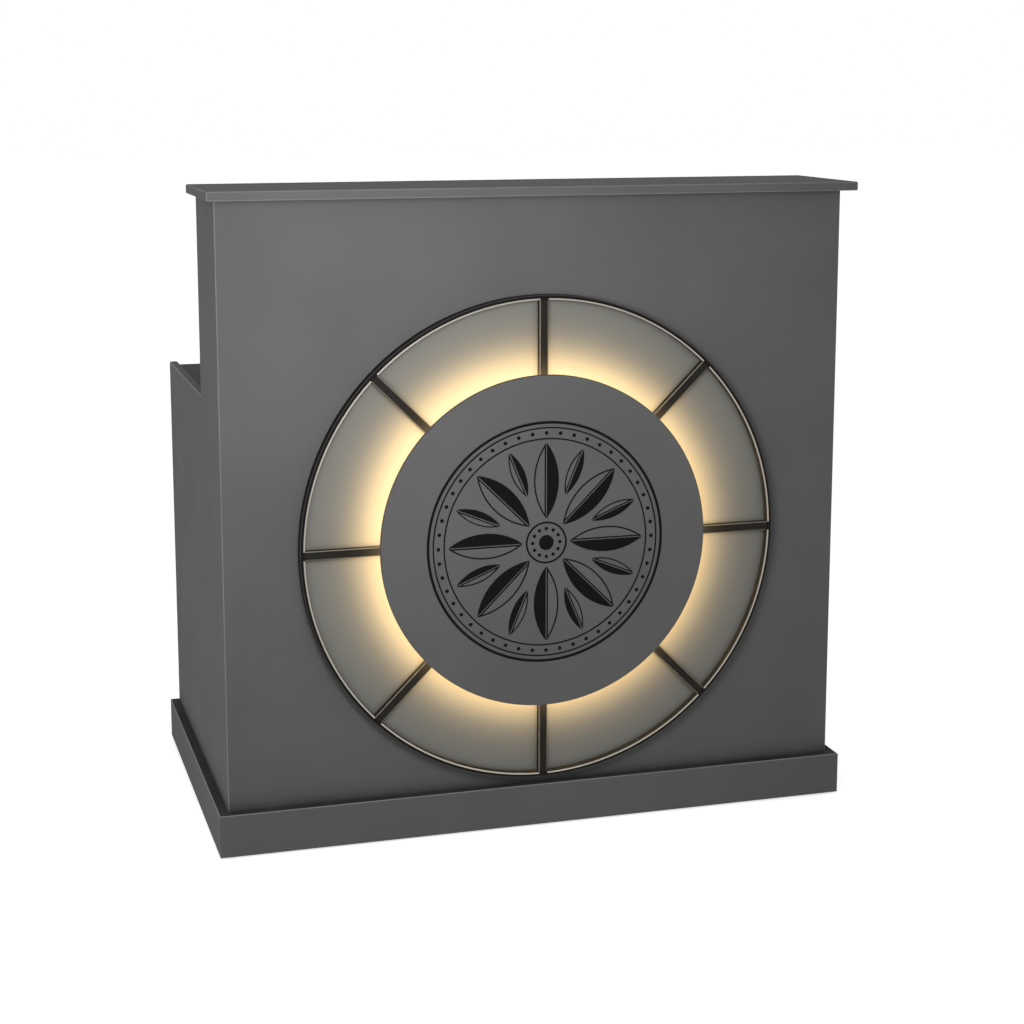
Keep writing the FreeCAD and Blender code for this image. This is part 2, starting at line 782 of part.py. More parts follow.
def light_wheel():
    """Round light on the front: backing, ring, trim arcs, spokes, LED carrier and strip, floating medallion."""
    centre = ("0", "face_y", "wheel_height")
    backing = "ring_inner - wheel_play"
    keep(turned(
        "backing_disc",
        [("0", "0"), (backing, "0"), (backing, "-backing_board"), ("0", "-backing_board")],
        centre,
    ))
    keep(tube("ring_frame", "ring_inner + ring_band", "ring_inner", "ring_depth", centre))
    spread = 360 / SPOKES
    arc = f"{spread} deg - 2 * asin(spoke_width / 2 / ring_inner)"
    trim_outer = "ring_inner + trim_width"
    trim = [("ring_inner", "0"), (trim_outer, "0"), (trim_outer, "-trim_sheet"), ("ring_inner", "-trim_sheet")]
    on_ring = ("0", "face_y - ring_depth", "wheel_height")
    arcs = []
    for i in range(SPOKES):
        piece = turned("trim_arc", trim, on_ring, degrees=arc)
        place(piece, *on_ring, Vector(0, 1, 0), spread * (i + 0.5))
        arcs.append(piece)
    group("ring_trim", arcs)

    spoke = rectangle("ring_inner - wheel_play - spoke_start", "spoke_width", "spoke_start", "-spoke_width / 2")
    spoke_face = -number("spoke_depth") + TINY
    for i in range(SPOKES):
        label = f"spoke_{i + 1}"
        body = new_body(label)
        sketch = new_sketch(body, "XZ")
        draw_outline(sketch, spoke)
        pad(body, sketch, "spoke_depth", "XZ", backwards=True)
        ease(body, lambda box: box.YMax < spoke_face and box.XLength > TINY)
        place(body, "0", "backing_y", "wheel_height", Vector(0, 1, 0), spread * i)
        keep(body)

    in_front = ("0", "backing_y", "wheel_height")
    keep(turned(
        "led_carrier",
        [("0", "0"), ("carrier_radius", "0"), ("carrier_radius", "-halo_gap"), ("0", "-halo_gap")],
        in_front,
    ))
    strip_inner = "carrier_radius + running_fit"
    strip_at = ("0", "backing_y - (halo_gap - strip_width) / 2", "wheel_height")
    keep(tube("led_strip", f"{strip_inner} + strip_sheet", strip_inner, "strip_width", strip_at))

    rim = "disc_radius - disc_ease"
    face = "-disc_board + disc_ease"
    keep(turned(
        "medallion_disc",
        [("0", "0"), ("disc_radius", "0"), ("disc_radius", face), (rim, "-disc_board"), ("0", "-disc_board")],
        ("0", "disc_y", "wheel_height"),
    ))


def light_driver():
    """LED driver with ears on the front panel's inner face, and the gland where its mains lead goes in."""
    body = new_body("led_driver")
    ears = new_sketch(body, "XZ")
    draw_outline(ears, rectangle("driver_length + 2 * driver_ear", "driver_height", "-driver_ear"))
    pad(body, ears, "driver_ear_sheet", "XZ")
    case = new_sketch(body, "XZ")
    draw_outline(case, rectangle("driver_length", "driver_height"))
    pad(body, case, "driver_depth", "XZ")
    far = number("driver_depth") - TINY
    round_over(body, "driver_round", lambda box: box.YMin > far)
    place(body, "driver_x", "inner_y", "driver_above_floor")
    keep(body)

    gland = new_body("mains_gland")
    nut = new_sketch(gland, "XZ")
    flat, corner = "gland_nut * sqrt(3) / 2", "gland_nut / 2"
    draw_outline(nut, [
        ("gland_nut", "0"),
        (corner, flat),
        (f"-{corner}", flat),
        ("-gland_nut", "0"),
        (f"-{corner}", f"-{flat}"),
        (corner, f"-{flat}"),
    ])
    pad(gland, nut, "gland_nut_length", "XZ")
    cap = new_sketch(gland, "XY")
    draw_outline(cap, [
        ("0", "gland_nut_length"),
        ("gland_bore + gland_wall", "gland_nut_length"),
        ("gland_bore + gland_wall / 2", "gland_length"),
        ("0", "gland_length"),
    ])
    spin = gland.newObject("PartDesign::Revolution", "mains_gland_cap")
    spin.Profile = cap
    spin.ReferenceAxis = (cap, ["V_Axis"])
    bore = new_sketch(gland, "XZ")
    draw_circle(bore, "gland_bore")
    pocket(gland, bore, "gland_length")
    place(gland, "gland_x", "inner_y + driver_depth", "driver_above_floor + driver_height / 2")
    keep(gland)


def light_switch():
    """Rocker switch on the partition's knee side: housing with a well, and the rocker on its pivot pin."""
    at = ("partition_x", "switch_y", "switch_z")
    housing = new_body("switch_housing")
    outline = new_sketch(housing, "YZ")
    draw_outline(outline, rectangle("switch_width", "switch_height", "-switch_width / 2", "-switch_height / 2"))
    pad(housing, outline, "switch_depth", "YZ", backwards=True)
    well = new_sketch(housing, "YZ")
    draw_outline(well, rectangle("well_width", "well_height", "-well_width / 2", "-well_height / 2"))
    bind(well, **{"AttachmentOffset.Base.z": "-switch_floor"})
    pocket(housing, well, "well_depth")
    bore = new_sketch(housing, "XZ")
    draw_circle(bore, "rocker_pin_radius + running_fit", "-rocker_pivot", "0")
    pocket(housing, bore, "switch_width - switch_wall", midplane=True)
    place(housing, *at)
    keep(housing)

    rocker = new_body("switch_rocker")
    shape = new_sketch(rocker, "XZ")
    draw_outline(shape, [
        ("-rocker_dip", "0"),
        ("-rocker_rise", "rocker_half"),
        ("0", "rocker_half"),
        ("rocker_belly", "rocker_half / 2"),
        ("rocker_belly", "-rocker_half / 2"),
        ("0", "-rocker_half"),
        ("-rocker_rise", "-rocker_half"),
    ])
    pad(rocker, shape, "well_width - rocker_play", "XZ", midplane=True)
    pin = new_sketch(rocker, "XZ")
    draw_circle(pin, "rocker_pin_radius")
    pad(rocker, pin, "switch_width - switch_wall - rocker_play", "XZ", midplane=True)
    place(rocker, "partition_x - rocker_pivot", "switch_y", "switch_z", Vector(0, 1, 0), 1)
    bind(rocker, **{"Placement.Rotation.Angle": "rocker_tilt_degrees"})
    keep(rocker)


def write_parts():
    """Checks every object of the document and writes each sub-part to its own file."""
    doc.recompute()
    for thing in doc.Objects:
        if "Invalid" in thing.State or "Error" in thing.State:
            raise RuntimeError(f"{thing.Label}: {thing.State}")
    os.makedirs("parts", exist_ok=True)
    for thing in nodes:
        if thing.Shape.isNull() or not thing.Shape.isValid():
            raise RuntimeError(f"{thing.Label}: no valid shape")
    for thing in nodes:
        thing.Shape.exportStep(f"parts/{thing.Label}.step")
    print(f"{len(nodes)} sub-parts written")


for row, (alias, size) in enumerate(SIZES.items(), start=1):
    sheet.set(f"A{row}", alias)
    sheet.set(f"B{row}", str(size))
    sheet.setAlias(f"B{row}", alias)
doc.recompute()

carcass()
plinth()
pedestal()
fittings()
drawer()
runners()
bow_handle(
    "drawer_handle", "XY",
    ("bay_middle - handle_span / 2", "front_outer", "mid_top + drawer_bay / 2 - handle_width / 2"),
)
lock()
cupboard_door()
hinges()
bow_handle(
    "door_handle", "YZ",
    (
        "front_left + door_handle_inset",
        "front_outer",
        "door_bottom + door_height - door_handle_inset - handle_span",
    ),
)
light_wheel()
light_driver()
light_switch()
write_parts()
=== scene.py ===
"""Looks of a reception desk with a round back-lit wheel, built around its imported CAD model."""
import json
import logging
import math
from abc import ABC, abstractmethod
from collections.abc import Callable, Iterable
from dataclasses import dataclass, field
from enum import Enum
from typing import Any, ClassVar

import bmesh
import bpy
from mathutils import Matrix, Vector


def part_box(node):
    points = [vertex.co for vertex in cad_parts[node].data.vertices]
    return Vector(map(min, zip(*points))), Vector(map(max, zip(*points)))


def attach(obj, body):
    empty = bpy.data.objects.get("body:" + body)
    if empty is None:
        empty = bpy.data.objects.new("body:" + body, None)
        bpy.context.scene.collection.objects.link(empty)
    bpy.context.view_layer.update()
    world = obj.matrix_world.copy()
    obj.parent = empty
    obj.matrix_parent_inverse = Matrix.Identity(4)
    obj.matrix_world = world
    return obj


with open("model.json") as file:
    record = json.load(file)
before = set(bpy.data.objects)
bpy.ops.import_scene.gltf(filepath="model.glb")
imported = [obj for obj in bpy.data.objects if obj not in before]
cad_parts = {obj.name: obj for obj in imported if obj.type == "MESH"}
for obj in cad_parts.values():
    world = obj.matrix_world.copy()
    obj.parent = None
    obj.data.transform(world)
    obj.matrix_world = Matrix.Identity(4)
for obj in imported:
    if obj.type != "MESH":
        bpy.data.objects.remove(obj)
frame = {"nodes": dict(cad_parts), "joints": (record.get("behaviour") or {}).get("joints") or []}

Node = bpy.types.Node
Socket = bpy.types.NodeSocket
Piece = bpy.types.Object
# The way from the light wheel's middle to a point, in the wheel's plane, and how long that is
FromHub = tuple[Socket, Socket]

MM = 0.001
# Span that holds most of a noise texture's values
NOISE_SPAN = {"From Min": 0.3, "From Max": 0.7}
# A normal's largest share along an axis, from flat faces to those of an eased edge
EASED_SPAN = {"From Min": 0.97, "From Max": 0.8}
# A normal's share along each of two axes on an edge eased by 45 degrees, and how far it may be off
EASED_SHARE, EASED_SLACK = math.sqrt(0.5), 0.2
# Mix's sockets by number, because Blender gives those of every data type the same names
MIX_SHARE, MIX_FIRST, MIX_SECOND, MIX_COLOUR = 0, 6, 7, 2
# A face with more of its normal than this along an axis looks that way
LOOKS = 0.9
log = logging.getLogger("reception_desk")


class Body(Enum):
    """The desk's bodies that carry new pieces."""

    CARCASS = "carcass"
    DRAWER = "drawer"
    DOOR = "door"
    ROCKER = "rocker"


class Side(Enum):
    """The way that a fitting's head looks, as the turn that brings +Z there."""

    DOWN = Matrix.Rotation(math.pi, 4, "X")
    FRONT = Matrix.Rotation(math.pi / 2, 4, "X")
    BACK = Matrix.Rotation(-math.pi / 2, 4, "X")
    RIGHT = Matrix.Rotation(math.pi / 2, 4, "Y")
    LEFT = Matrix.Rotation(-math.pi / 2, 4, "Y")


Spot = tuple[Vector, Side]


def linear(code: str) -> tuple[float, float, float, float]:
    """Turns an sRGB hex colour into linear values.

    Args:
        code: Six hex digits after a hash.

    Returns:
        Red, green and blue, and an alpha of 1.
    """
    shares = [int(code[i:i + 2], 16) / 255 for i in (1, 3, 5)]
    red, green, blue = (s / 12.92 if s <= 0.04045 else ((s + 0.055) / 1.055) ** 2.4 for s in shares)
    return red, green, blue, 1.0


def output(value: Any) -> Any:
    """A node's first output; anything else as it is."""
    return value.outputs[0] if isinstance(value, Node) else value


def middle(node: str) -> Vector:
    """The middle of a CAD node's box."""
    low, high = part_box(node)
    return (low + high) / 2


@dataclass(frozen=True)
class Nodes:
    """A tree of shader nodes.

    Attributes:
        tree: Blender's node tree.
    """

    tree: bpy.types.NodeTree

    def add(self, kind: str, inputs: dict[int | str, Any] | tuple[Any, ...] = (), **settings: Any) -> Node:
        """Adds a node with its values, links and settings.

        Args:
            kind: Blender's type name of the node, without its ShaderNode.
            inputs: What its sockets get, by name or number or in their order: a value, an output, or a node whose
                first output is linked.
            **settings: Properties of the node itself.

        Returns:
            The new node.
        """
        made = self.tree.nodes.new(f"ShaderNode{kind}")
        for name, value in settings.items():
            setattr(made, name, value)
        for key, value in inputs.items() if isinstance(inputs, dict) else enumerate(inputs):
            source = output(value)
            if isinstance(source, Socket):
                self.tree.links.new(source, made.inputs[key])
            else:
                made.inputs[key].default_value = source
        return made


@dataclass(frozen=True)
class Paint(Nodes):
    """The nodes of one material, in which a finish draws its pattern.

    Attributes:
        surface: The Principled shader.
        place: Object coordinates, in metres.
        normal: The way that the surface looks.
    """

    surface: Node
    place: Socket
    normal: Socket

    def link(self, name: str, value: Node | Socket) -> None:
        """Links a pattern to the shader's socket of that name."""
        self.tree.links.new(output(value), self.surface.inputs[name])

    def coat(self, base: Any, *layers: tuple[Node | Socket, str]) -> None:
        """Colours the surface in layers.

        Args:
            base: The lowest layer's colour, as values or as a node.
            *layers: Shares from 0 to 1 that cover what lies below, each with an sRGB colour.
        """
        for share, colour in layers:
            mixed = self.add("Mix", {MIX_SHARE: share, MIX_FIRST: base, MIX_SECOND: linear(colour)}, data_type="RGBA")
            base = mixed.outputs[MIX_COLOUR]
        self.link("Base Color", base)

    def from_hub(self) -> FromHub:
        """Measures a point from the light wheel's middle.

        Returns:
            The way and its length.
        """
        moved = self.add("Mapping", {"Vector": self.place, "Location": -middle("medallion_disc")})
        flat = self.add("VectorMath", (moved, (1.0, 0.0, 1.0)), operation="MULTIPLY")
        length = self.add("VectorMath", (flat,), operation="LENGTH")
        return flat.outputs["Vector"], length.outputs["Value"]


@dataclass(frozen=True)
class Finish:
    """A surface finish with an even grain; kinds of finish have their own pattern.

    Attributes:
        name: The real material's common name.
        colour: Its sRGB colour.
        roughness: How matt it is, from 0 to 1.
        metallic: 1 for bare metal, otherwise 0.
        specular: Strength of the gloss on what isn't metal.
        grain_mm: Size of the surface's grain.
        depth_mm: How deep that grain is.
        spread: How far the roughness goes to each side.
    """

    name: str
    colour: str
    roughness: float
    metallic: float = 0.0
    specular: float = 0.5
    grain_mm: float = 2.0
    depth_mm: float = 0.02
    spread: float = 0.08

    def material(self) -> bpy.types.Material:
        """Makes the finish's material the first time, and finds it later.

        Returns:
            The material.
        """
        found = bpy.data.materials.get(self.name)
        if found is None:
            found = bpy.data.materials.new(self.name)
            found.use_nodes = True
            tree = found.node_tree
            surface = tree.nodes["Principled BSDF"]
            surface.inputs["Base Color"].default_value = linear(self.colour)
            surface.inputs["Roughness"].default_value = self.roughness
            surface.inputs["Metallic"].default_value = self.metallic
            if not self.metallic:
                surface.inputs["Specular IOR Level"].default_value = self.specular
            where = Nodes(tree).add("TexCoord").outputs
            self.pattern(Paint(tree, surface, where["Object"], where["Normal"]))
        return found

    def pattern(self, paint: Paint) -> None:
        """Adds the finish's pattern to its material.

        Args:
            paint: The material's nodes.
        """
        grain = paint.add(
            "TexNoise", {"Vector": paint.place, "Scale": 1 / (self.grain_mm * MM), "Detail": 3.0, "Roughness": 0.55},
        )
        self.mottle(paint, grain)
        self.emboss(paint, grain)

    def mottle(self, paint: Paint, height: Node | Socket) -> None:
        """Lets the gloss vary with a pattern.

        Args:
            paint: The material's nodes.
            height: The pattern, from 0 to 1.
        """
        low, high = self.roughness - self.spread, self.roughness + self.spread
        paint.link("Roughness", paint.add("MapRange", {"Value": height, **NOISE_SPAN, "To Min": low, "To Max": high}))

    def emboss(self, paint: Paint, height: Node | Socket) -> None:
        """Raises the surface with a pattern.

        Args:
            paint: The material's nodes.
            height: The pattern, from 0 to 1.
        """
        bump = paint.add("Bump", {"Height": height, "Strength": 0.5, "Distance": self.depth_mm * MM})
        paint.link("Normal", bump)


@dataclass(frozen=True)
class Lacquer(Finish):
    """Matt lacquer sprayed on MDF: an even grey with soft clouds, orange peel, and a painted highlight on eased edges.

    Attributes:
        cloud_mm: Size of the soft clouds.
        cloud_share: How much paler and darker they are.
        edge_colour: The paler grey of the painted highlight on a board's eased edges.
        edge_share: How much of that grey shows there.
        variation_mm: Length of the stretches over which that highlight comes and goes, and over which FootLacquer's
            painted shade varies.
        highlight_least: The share of the painted highlight that is left in its weakest stretches.
    """

    spread: float = 0.05
    cloud_mm: float = 140.0
    cloud_share: float = 0.05
    edge_colour: str = "#8c8c8c"
    edge_share: float = 0.85
    variation_mm: float = 60.0
    highlight_least: float = 0.7

    def pattern(self, paint: Paint) -> None:
        """Adds clouds, orange peel and the painted highlight on the eased edges.

        Args:
            paint: The material's nodes.
        """
        cloud = paint.add(
            "TexNoise", {"Vector": paint.place, "Scale": 1 / (self.cloud_mm * MM), "Detail": 4.0, "Roughness": 0.5},
        )
        low, high = 1 - self.cloud_share, 1 + self.cloud_share
        shade = paint.add("MapRange", {"Value": cloud, **NOISE_SPAN, "To Min": low, "To Max": high})
        body = paint.add("VectorMath", {0: linear(self.colour)[:3], "Scale": shade}, operation="SCALE")
        paint.coat(body, (self.edges(paint), self.edge_colour))
        peel = paint.add("TexNoise", {"Vector": paint.place, "Scale": 1 / (self.grain_mm * MM), "Detail": 2.0})
        self.mottle(paint, peel)
        self.emboss(paint, peel)

    def edges(self, paint: Paint) -> Node:
        """Finds a board's eased edges, which are its only faces that look along no axis.

        Args:
            paint: The material's nodes.

        Returns:
            The share of the painted highlight's paler grey, less in some random stretches.
        """
        size = paint.add("VectorMath", (paint.normal,), operation="ABSOLUTE")
        axes = paint.add("SeparateXYZ", {"Vector": size}).outputs
        wide = paint.add("Math", (axes["X"], axes["Y"]), operation="MAXIMUM")
        most = paint.add("Math", (wide, axes["Z"]), operation="MAXIMUM")
        # Painted highlight: the faces of an eased edge get a paler grey, stronger in some stretches than in others
        eased = paint.add("MapRange", {"Value": most, **EASED_SPAN, "To Min": 0.0, "To Max": self.edge_share})
        patchiness = paint.add("TexNoise", {"Vector": paint.place, "Scale": 1 / (self.variation_mm * MM)})
        highlight_left = paint.add("MapRange", {"Value": patchiness, **NOISE_SPAN, "To Min": self.highlight_least, "To Max": 1.0})
        return paint.add("Math", (eased, highlight_left), operation="MULTIPLY")


@dataclass(frozen=True)
class FootLacquer(Lacquer):
    """The lacquer of the boards round the plinth, with painted shade: dark on its ledge and in the corner above it.

    Attributes:
        shade_loss: What the colour loses to the painted shade in that corner.
        shade_least: The share of that loss where its random noise is lowest.
        shade_mm: Height over which it fades.
        slack_mm: How far below the ledge a point still counts as on it.
    """

    shade_loss: float = 0.66
    shade_least: float = 0.85
    shade_mm: float = 12.0
    slack_mm: float = 0.2

    def pattern(self, paint: Paint) -> None:
        """Adds the painted shade in the corner to the lacquer's own pattern.

        Args:
            paint: The material's nodes.
        """
        super().pattern(paint)
        coat = paint.surface.inputs["Base Color"].links[0].from_socket
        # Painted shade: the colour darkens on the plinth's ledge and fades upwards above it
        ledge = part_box("plinth_front")[1].z
        height = paint.add("SeparateXYZ", {"Vector": paint.place}).outputs["Z"]
        below = paint.add("Math", (ledge, height), operation="SUBTRACT")
        over = paint.add("Math", (below, 0.0), operation="MINIMUM")
        fall = paint.add("Math", (over, self.shade_mm * MM), operation="DIVIDE")
        deep = paint.add("Math", (fall,), operation="EXPONENT")
        reached = paint.add("Math", (below, self.slack_mm * MM), operation="LESS_THAN")
        there = paint.add("Math", (deep, reached), operation="MULTIPLY")
        shade_noise = paint.add("TexNoise", {"Vector": paint.place, "Scale": 1 / (self.variation_mm * MM)})
        loss = {"To Min": -self.shade_least * self.shade_loss, "To Max": -self.shade_loss}
        lost = paint.add("MapRange", {"Value": shade_noise, **NOISE_SPAN, **loss})
        left = paint.add("Math", (there, lost, 1.0), operation="MULTIPLY_ADD")
        paint.link("Base Color", paint.add("VectorMath", {0: coat, "Scale": left}, operation="SCALE"))


@dataclass(frozen=True)
class Plated(Finish):
    """Zinc or nickel plate: bright patches a few millimetres wide, some a little duller.

    Attributes:
        patch_mm: Size of the patches.
        dull_colour: The colour of the duller ones.
    """

    spread: float = 0.04
    patch_mm: float = 5.0
    dull_colour: str = "#adb0b5"

    def pattern(self, paint: Paint) -> None:
        """Adds the patches to colour and gloss.

        Args:
            paint: The material's nodes.
        """
        patch = paint.add(
            "TexVoronoi", {"Vector": paint.place, "Scale": 1 / (self.patch_mm * MM), "Smoothness": 0.6},
            feature="SMOOTH_F1",
        )
        tone = paint.add("SeparateColor", {"Color": patch.outputs["Color"]}).outputs
        paint.coat(linear(self.colour), (tone["Red"], self.dull_colour))
        self.mottle(paint, tone["Green"])


@dataclass(frozen=True)
class Drawn(Finish):
    """Metal with fine lines along one direction, from a die or a brush.

    Attributes:
        stretch: How much longer than wide the lines are, along X, Y and Z.
    """

    spread: float = 0.1
    stretch: tuple[float, float, float] = (40.0, 1.0, 1.0)

    def pattern(self, paint: Paint) -> None:
        """Adds the lines to gloss and height.

        Args:
            paint: The material's nodes.
        """
        along = paint.add("Mapping", {"Vector": paint.place, "Scale": tuple(1 / s for s in self.stretch)})
        lines = paint.add("TexNoise", {"Vector": along, "Scale": 1 / (self.grain_mm * MM), "Detail": 2.0})
        self.mottle(paint, lines)
        self.emboss(paint, lines)


@dataclass(frozen=True)
class Lit(Finish):
    """A surface that the LED strip lights, with that light painted on as a glow of its own: warm at the medallion's rim
    and plain further out.

    Attributes:
        glow: The light's colour.
        reach_mm: Distance over which the light falls to a third.
        level: The strongest that the light gets, which it nears only at the rim.
        gain: How soon it nears that.
        least: The share that is left away from the bright side.
        bright_side: The brightest side's angle, in degrees anticlockwise from the right.
        focus: How narrow that side is.
    """

    glow: str = "#ffd895"
    reach_mm: float = 21.0
    level: float = 1.1
    gain: float = 3.84
    least: float = 0.5
    bright_side: float = 125.0
    focus: float = 4.0

    def pattern(self, paint: Paint) -> None:
        """Adds the painted glow round the medallion and a fine satin grain.

        Args:
            paint: The material's nodes.
        """
        super().pattern(paint)
        hub = paint.from_hub()
        left = self.shade(paint, hub)
        strength = paint.add("Math", (self.strength(paint, hub), left), operation="MULTIPLY")
        warm = paint.add("VectorMath", {0: linear(self.glow)[:3], "Scale": strength}, operation="SCALE")
        paint.link("Emission Color", warm)
        paint.surface.inputs["Emission Strength"].default_value = self.level

    def strength(self, paint: Paint, hub: FromHub) -> Node:
        """Works out the strip's painted light at a point.

        Args:
            paint: The material's nodes.
            hub: The point's way from the wheel's middle, and its length.

        Returns:
            The light, from 0 to 1.
        """
        flat, radius = hub
        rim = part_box("medallion_disc")[1].x - middle("medallion_disc").x
        inside = paint.add("Math", (rim, radius), operation="SUBTRACT")
        fall = paint.add("Math", (inside, self.reach_mm * MM), operation="DIVIDE")
        light = paint.add("Math", (fall,), operation="EXPONENT")
        way = paint.add("VectorMath", (flat,), operation="NORMALIZE")
        turn = math.radians(self.bright_side)
        bright = (math.cos(turn), 0.0, math.sin(turn))
        towards = paint.add("VectorMath", (way, bright), operation="DOT_PRODUCT").outputs["Value"]
        half = paint.add("MapRange", {"Value": towards, "From Min": -1.0, "From Max": 1.0})
        peak = paint.add("Math", (half, self.focus), operation="POWER")
        share = paint.add("MapRange", {"Value": peak, "To Min": -self.gain * self.least, "To Max": -self.gain})
        lost = paint.add("Math", (light, share), operation="MULTIPLY")
        dark = paint.add("Math", (lost,), operation="EXPONENT")
        return paint.add("Math", (1.0, dark), operation="SUBTRACT")

    def shade(self, paint: Paint, hub: FromHub) -> Node | float:
        """Tells what share of the light reaches a point: all of it, unless a kind of surface says otherwise.

        Args:
            paint: The material's nodes; not used by this base version.
            hub: The point's way from the wheel's middle, and its length; not used by this base version.

        Returns:
            The share.
        """
        return 1.0


@dataclass(frozen=True)
class LitPanel(Lit):
    """The plate behind the medallion, with painted shade in the corners beside ring and spokes.

    Attributes:
        corner_mm: Width of the painted shade in the corners.
        corner_loss: What they lose of colour and light.
        spokes: Number of spokes.
    """

    corner_mm: float = 4.0
    corner_loss: float = 0.4
    spokes: int = 8

    def shade(self, paint: Paint, hub: FromHub) -> Node | float:
        """Paints shade on the plate beside the ring and the nearest spoke, darkening its colour and its painted glow.

        Args:
            paint: The material's nodes.
            hub: The point's way from the wheel's middle, and its length.

        Returns:
            The share of colour and light that is left.
        """
        flat, radius = hub
        low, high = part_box("spoke_1")
        axes = paint.add("SeparateXYZ", {"Vector": flat}).outputs
        angle = paint.add("Math", (axes["Z"], axes["X"]), operation="ARCTAN2")
        fold = paint.add("Math", (angle, math.pi / self.spokes), operation="PINGPONG")
        sine = paint.add("Math", (fold,), operation="SINE")
        beside = paint.add("Math", (sine, radius), operation="MULTIPLY")
        spoke = paint.add("Math", ((high.z - low.z) / 2, beside), operation="SUBTRACT")
        ring = paint.add("Math", (radius, high.x), operation="SUBTRACT")
        near = paint.add("Math", (spoke, ring), operation="MAXIMUM")
        gap = paint.add("Math", (near, 0.0), operation="MINIMUM")
        fall = paint.add("Math", (gap, self.corner_mm * MM), operation="DIVIDE")
        deep = paint.add("Math", (fall,), operation="EXPONENT")
        left = paint.add("Math", (deep, -self.corner_loss, 1.0), operation="MULTIPLY_ADD")
        # Painted shade: colour and glow are darkened beside the ring and the spokes
        body = paint.add("VectorMath", {0: linear(self.colour)[:3], "Scale": left}, operation="SCALE")
        paint.link("Base Color", body)
        return left


@dataclass(frozen=True)
class LitSpoke(Lit):
    """Black powder coat on a spoke: a painted highlight on the eased edges, and a painted warm glow beside the
    medallion.

    Attributes:
        edge_colour: The painted highlight's colour.
    """

    edge_colour: str = "#7a756a"

    def pattern(self, paint: Paint) -> None:
        """Adds the painted highlight on the edges, which are the faces that look neither forwards nor sideways.

        Args:
            paint: The material's nodes.
        """
        super().pattern(paint)
        size = paint.add("VectorMath", (paint.normal,), operation="ABSOLUTE")
        ahead = paint.add("SeparateXYZ", {"Vector": size}).outputs["Y"]
        eased = paint.add("Math", (ahead, EASED_SHARE, EASED_SLACK), operation="COMPARE")
        paint.coat(linear(self.colour), (eased, self.edge_colour))


@dataclass(frozen=True)
class LitRing(Finish):
    """Black powder coat on the ring: a painted highlight along its outer edge, and painted warm light on the wall that
    faces the lit plate.

    Attributes:
        edge_colour: The painted highlight's colour at the edge.
        edge_mm: Width of that edge.
        wall_colour: The painted warm light's colour on the wall inside the ring.
        front_least: A face with more of its normal than this forwards is the front.
    """

    edge_colour: str = "#3d3b36"
    edge_mm: float = 1.3
    wall_colour: str = "#38342b"
    front_least: float = 0.5

    def pattern(self, paint: Paint) -> None:
        """Adds the painted highlight on the front's outer edge and the painted warm light on the wall, which looks to
        the middle.

        Args:
            paint: The material's nodes.
        """
        super().pattern(paint)
        flat, radius = paint.from_hub()
        ahead = paint.add("SeparateXYZ", {"Vector": paint.normal}).outputs["Y"]
        face = paint.add("Math", (ahead, -self.front_least), operation="LESS_THAN")
        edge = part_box("ring_frame")[1].x - self.edge_mm * MM
        outer = paint.add("Math", (radius, edge), operation="GREATER_THAN")
        eased = paint.add("Math", (face, outer), operation="MULTIPLY")
        outward = paint.add("VectorMath", (paint.normal, flat), operation="DOT_PRODUCT").outputs["Value"]
        wall = paint.add("Math", (outward, -edge / 2), operation="LESS_THAN")
        paint.coat(linear(self.colour), (eased, self.edge_colour), (wall, self.wall_colour))


@dataclass(frozen=True)
class WarmLed(Finish):
    """LEDs under clear resin, which shine by themselves.

    Attributes:
        level: Strength of their light.
    """

    level: float = 20.0

    def pattern(self, paint: Paint) -> None:
        """Adds the light and the resin's gloss.

        Args:
            paint: The material's nodes.
        """
        super().pattern(paint)
        paint.surface.inputs["Emission Color"].default_value = linear(self.colour)
        paint.surface.inputs["Emission Strength"].default_value = self.level


# Sprayed matt anthracite lacquer on MDF: soft even grey, a low broad sheen, orange peel about 1 mm wide
# in reality and drawn 4 mm wide so that it shows
GREY_LACQUER = Lacquer("matt_anthracite_lacquer_on_mdf", "#646464", 0.92, specular=0.03, grain_mm=4.0)
# The same lacquer on the worktop, a shade darker than the boards round it: painted shade for the shade that the tall
# part casts on it
WORKTOP_LACQUER = Lacquer("matt_anthracite_lacquer_of_worktop", "#545454", 0.92, specular=0.03, grain_mm=4.0)
# The same lacquer on the boards that meet at the plinth's ledge, with painted shade as a dark line in that corner
FOOT_LACQUER = FootLacquer("matt_anthracite_lacquer_above_plinth", "#646464", 0.92, specular=0.03, grain_mm=4.0)
# The same lacquer on the medallion's finer board, sanded once more, so its peel is flatter; its rim gets no painted
# highlight
MEDALLION_LACQUER = Lacquer(
    "matt_anthracite_lacquer_on_medallion", "#646464", 0.9, specular=0.04, grain_mm=3.0, depth_mm=0.01,
    edge_share=0.0,
)
# Satin grey plate that takes the light of the strip, painted on as a glow, with painted shade beside ring and spokes:
# bare of clouds, a fine even grain
LIT_PANEL = LitPanel("satin_grey_lit_plate", "#777874", 0.6, specular=0.15, grain_mm=2.5, depth_mm=0.01)
# The spokes' black powder coat: satin, faintly brown, with a painted highlight along the eased edges and a painted warm
# glow beside the medallion
LIT_SPOKE = LitSpoke(
    "black_powder_coated_spoke", "#24221e", 0.5, specular=0.08, depth_mm=0.03, reach_mm=14.0, level=0.2, gain=1.0,
    least=0.6,
)
# Melamine-faced board: light grey paper under resin with a shallow pearl emboss of about 1.5 mm, drawn at 3 mm
MELAMINE = Finish("light_grey_melamine_board", "#a3a3a1", 0.42, specular=0.4, grain_mm=3.0, depth_mm=0.03)
# Black polyester powder coat on steel: satin, with a fine leathery texture
POWDER_COAT = Finish("black_powder_coated_steel", "#100f0e", 0.5, specular=0.1, depth_mm=0.03)
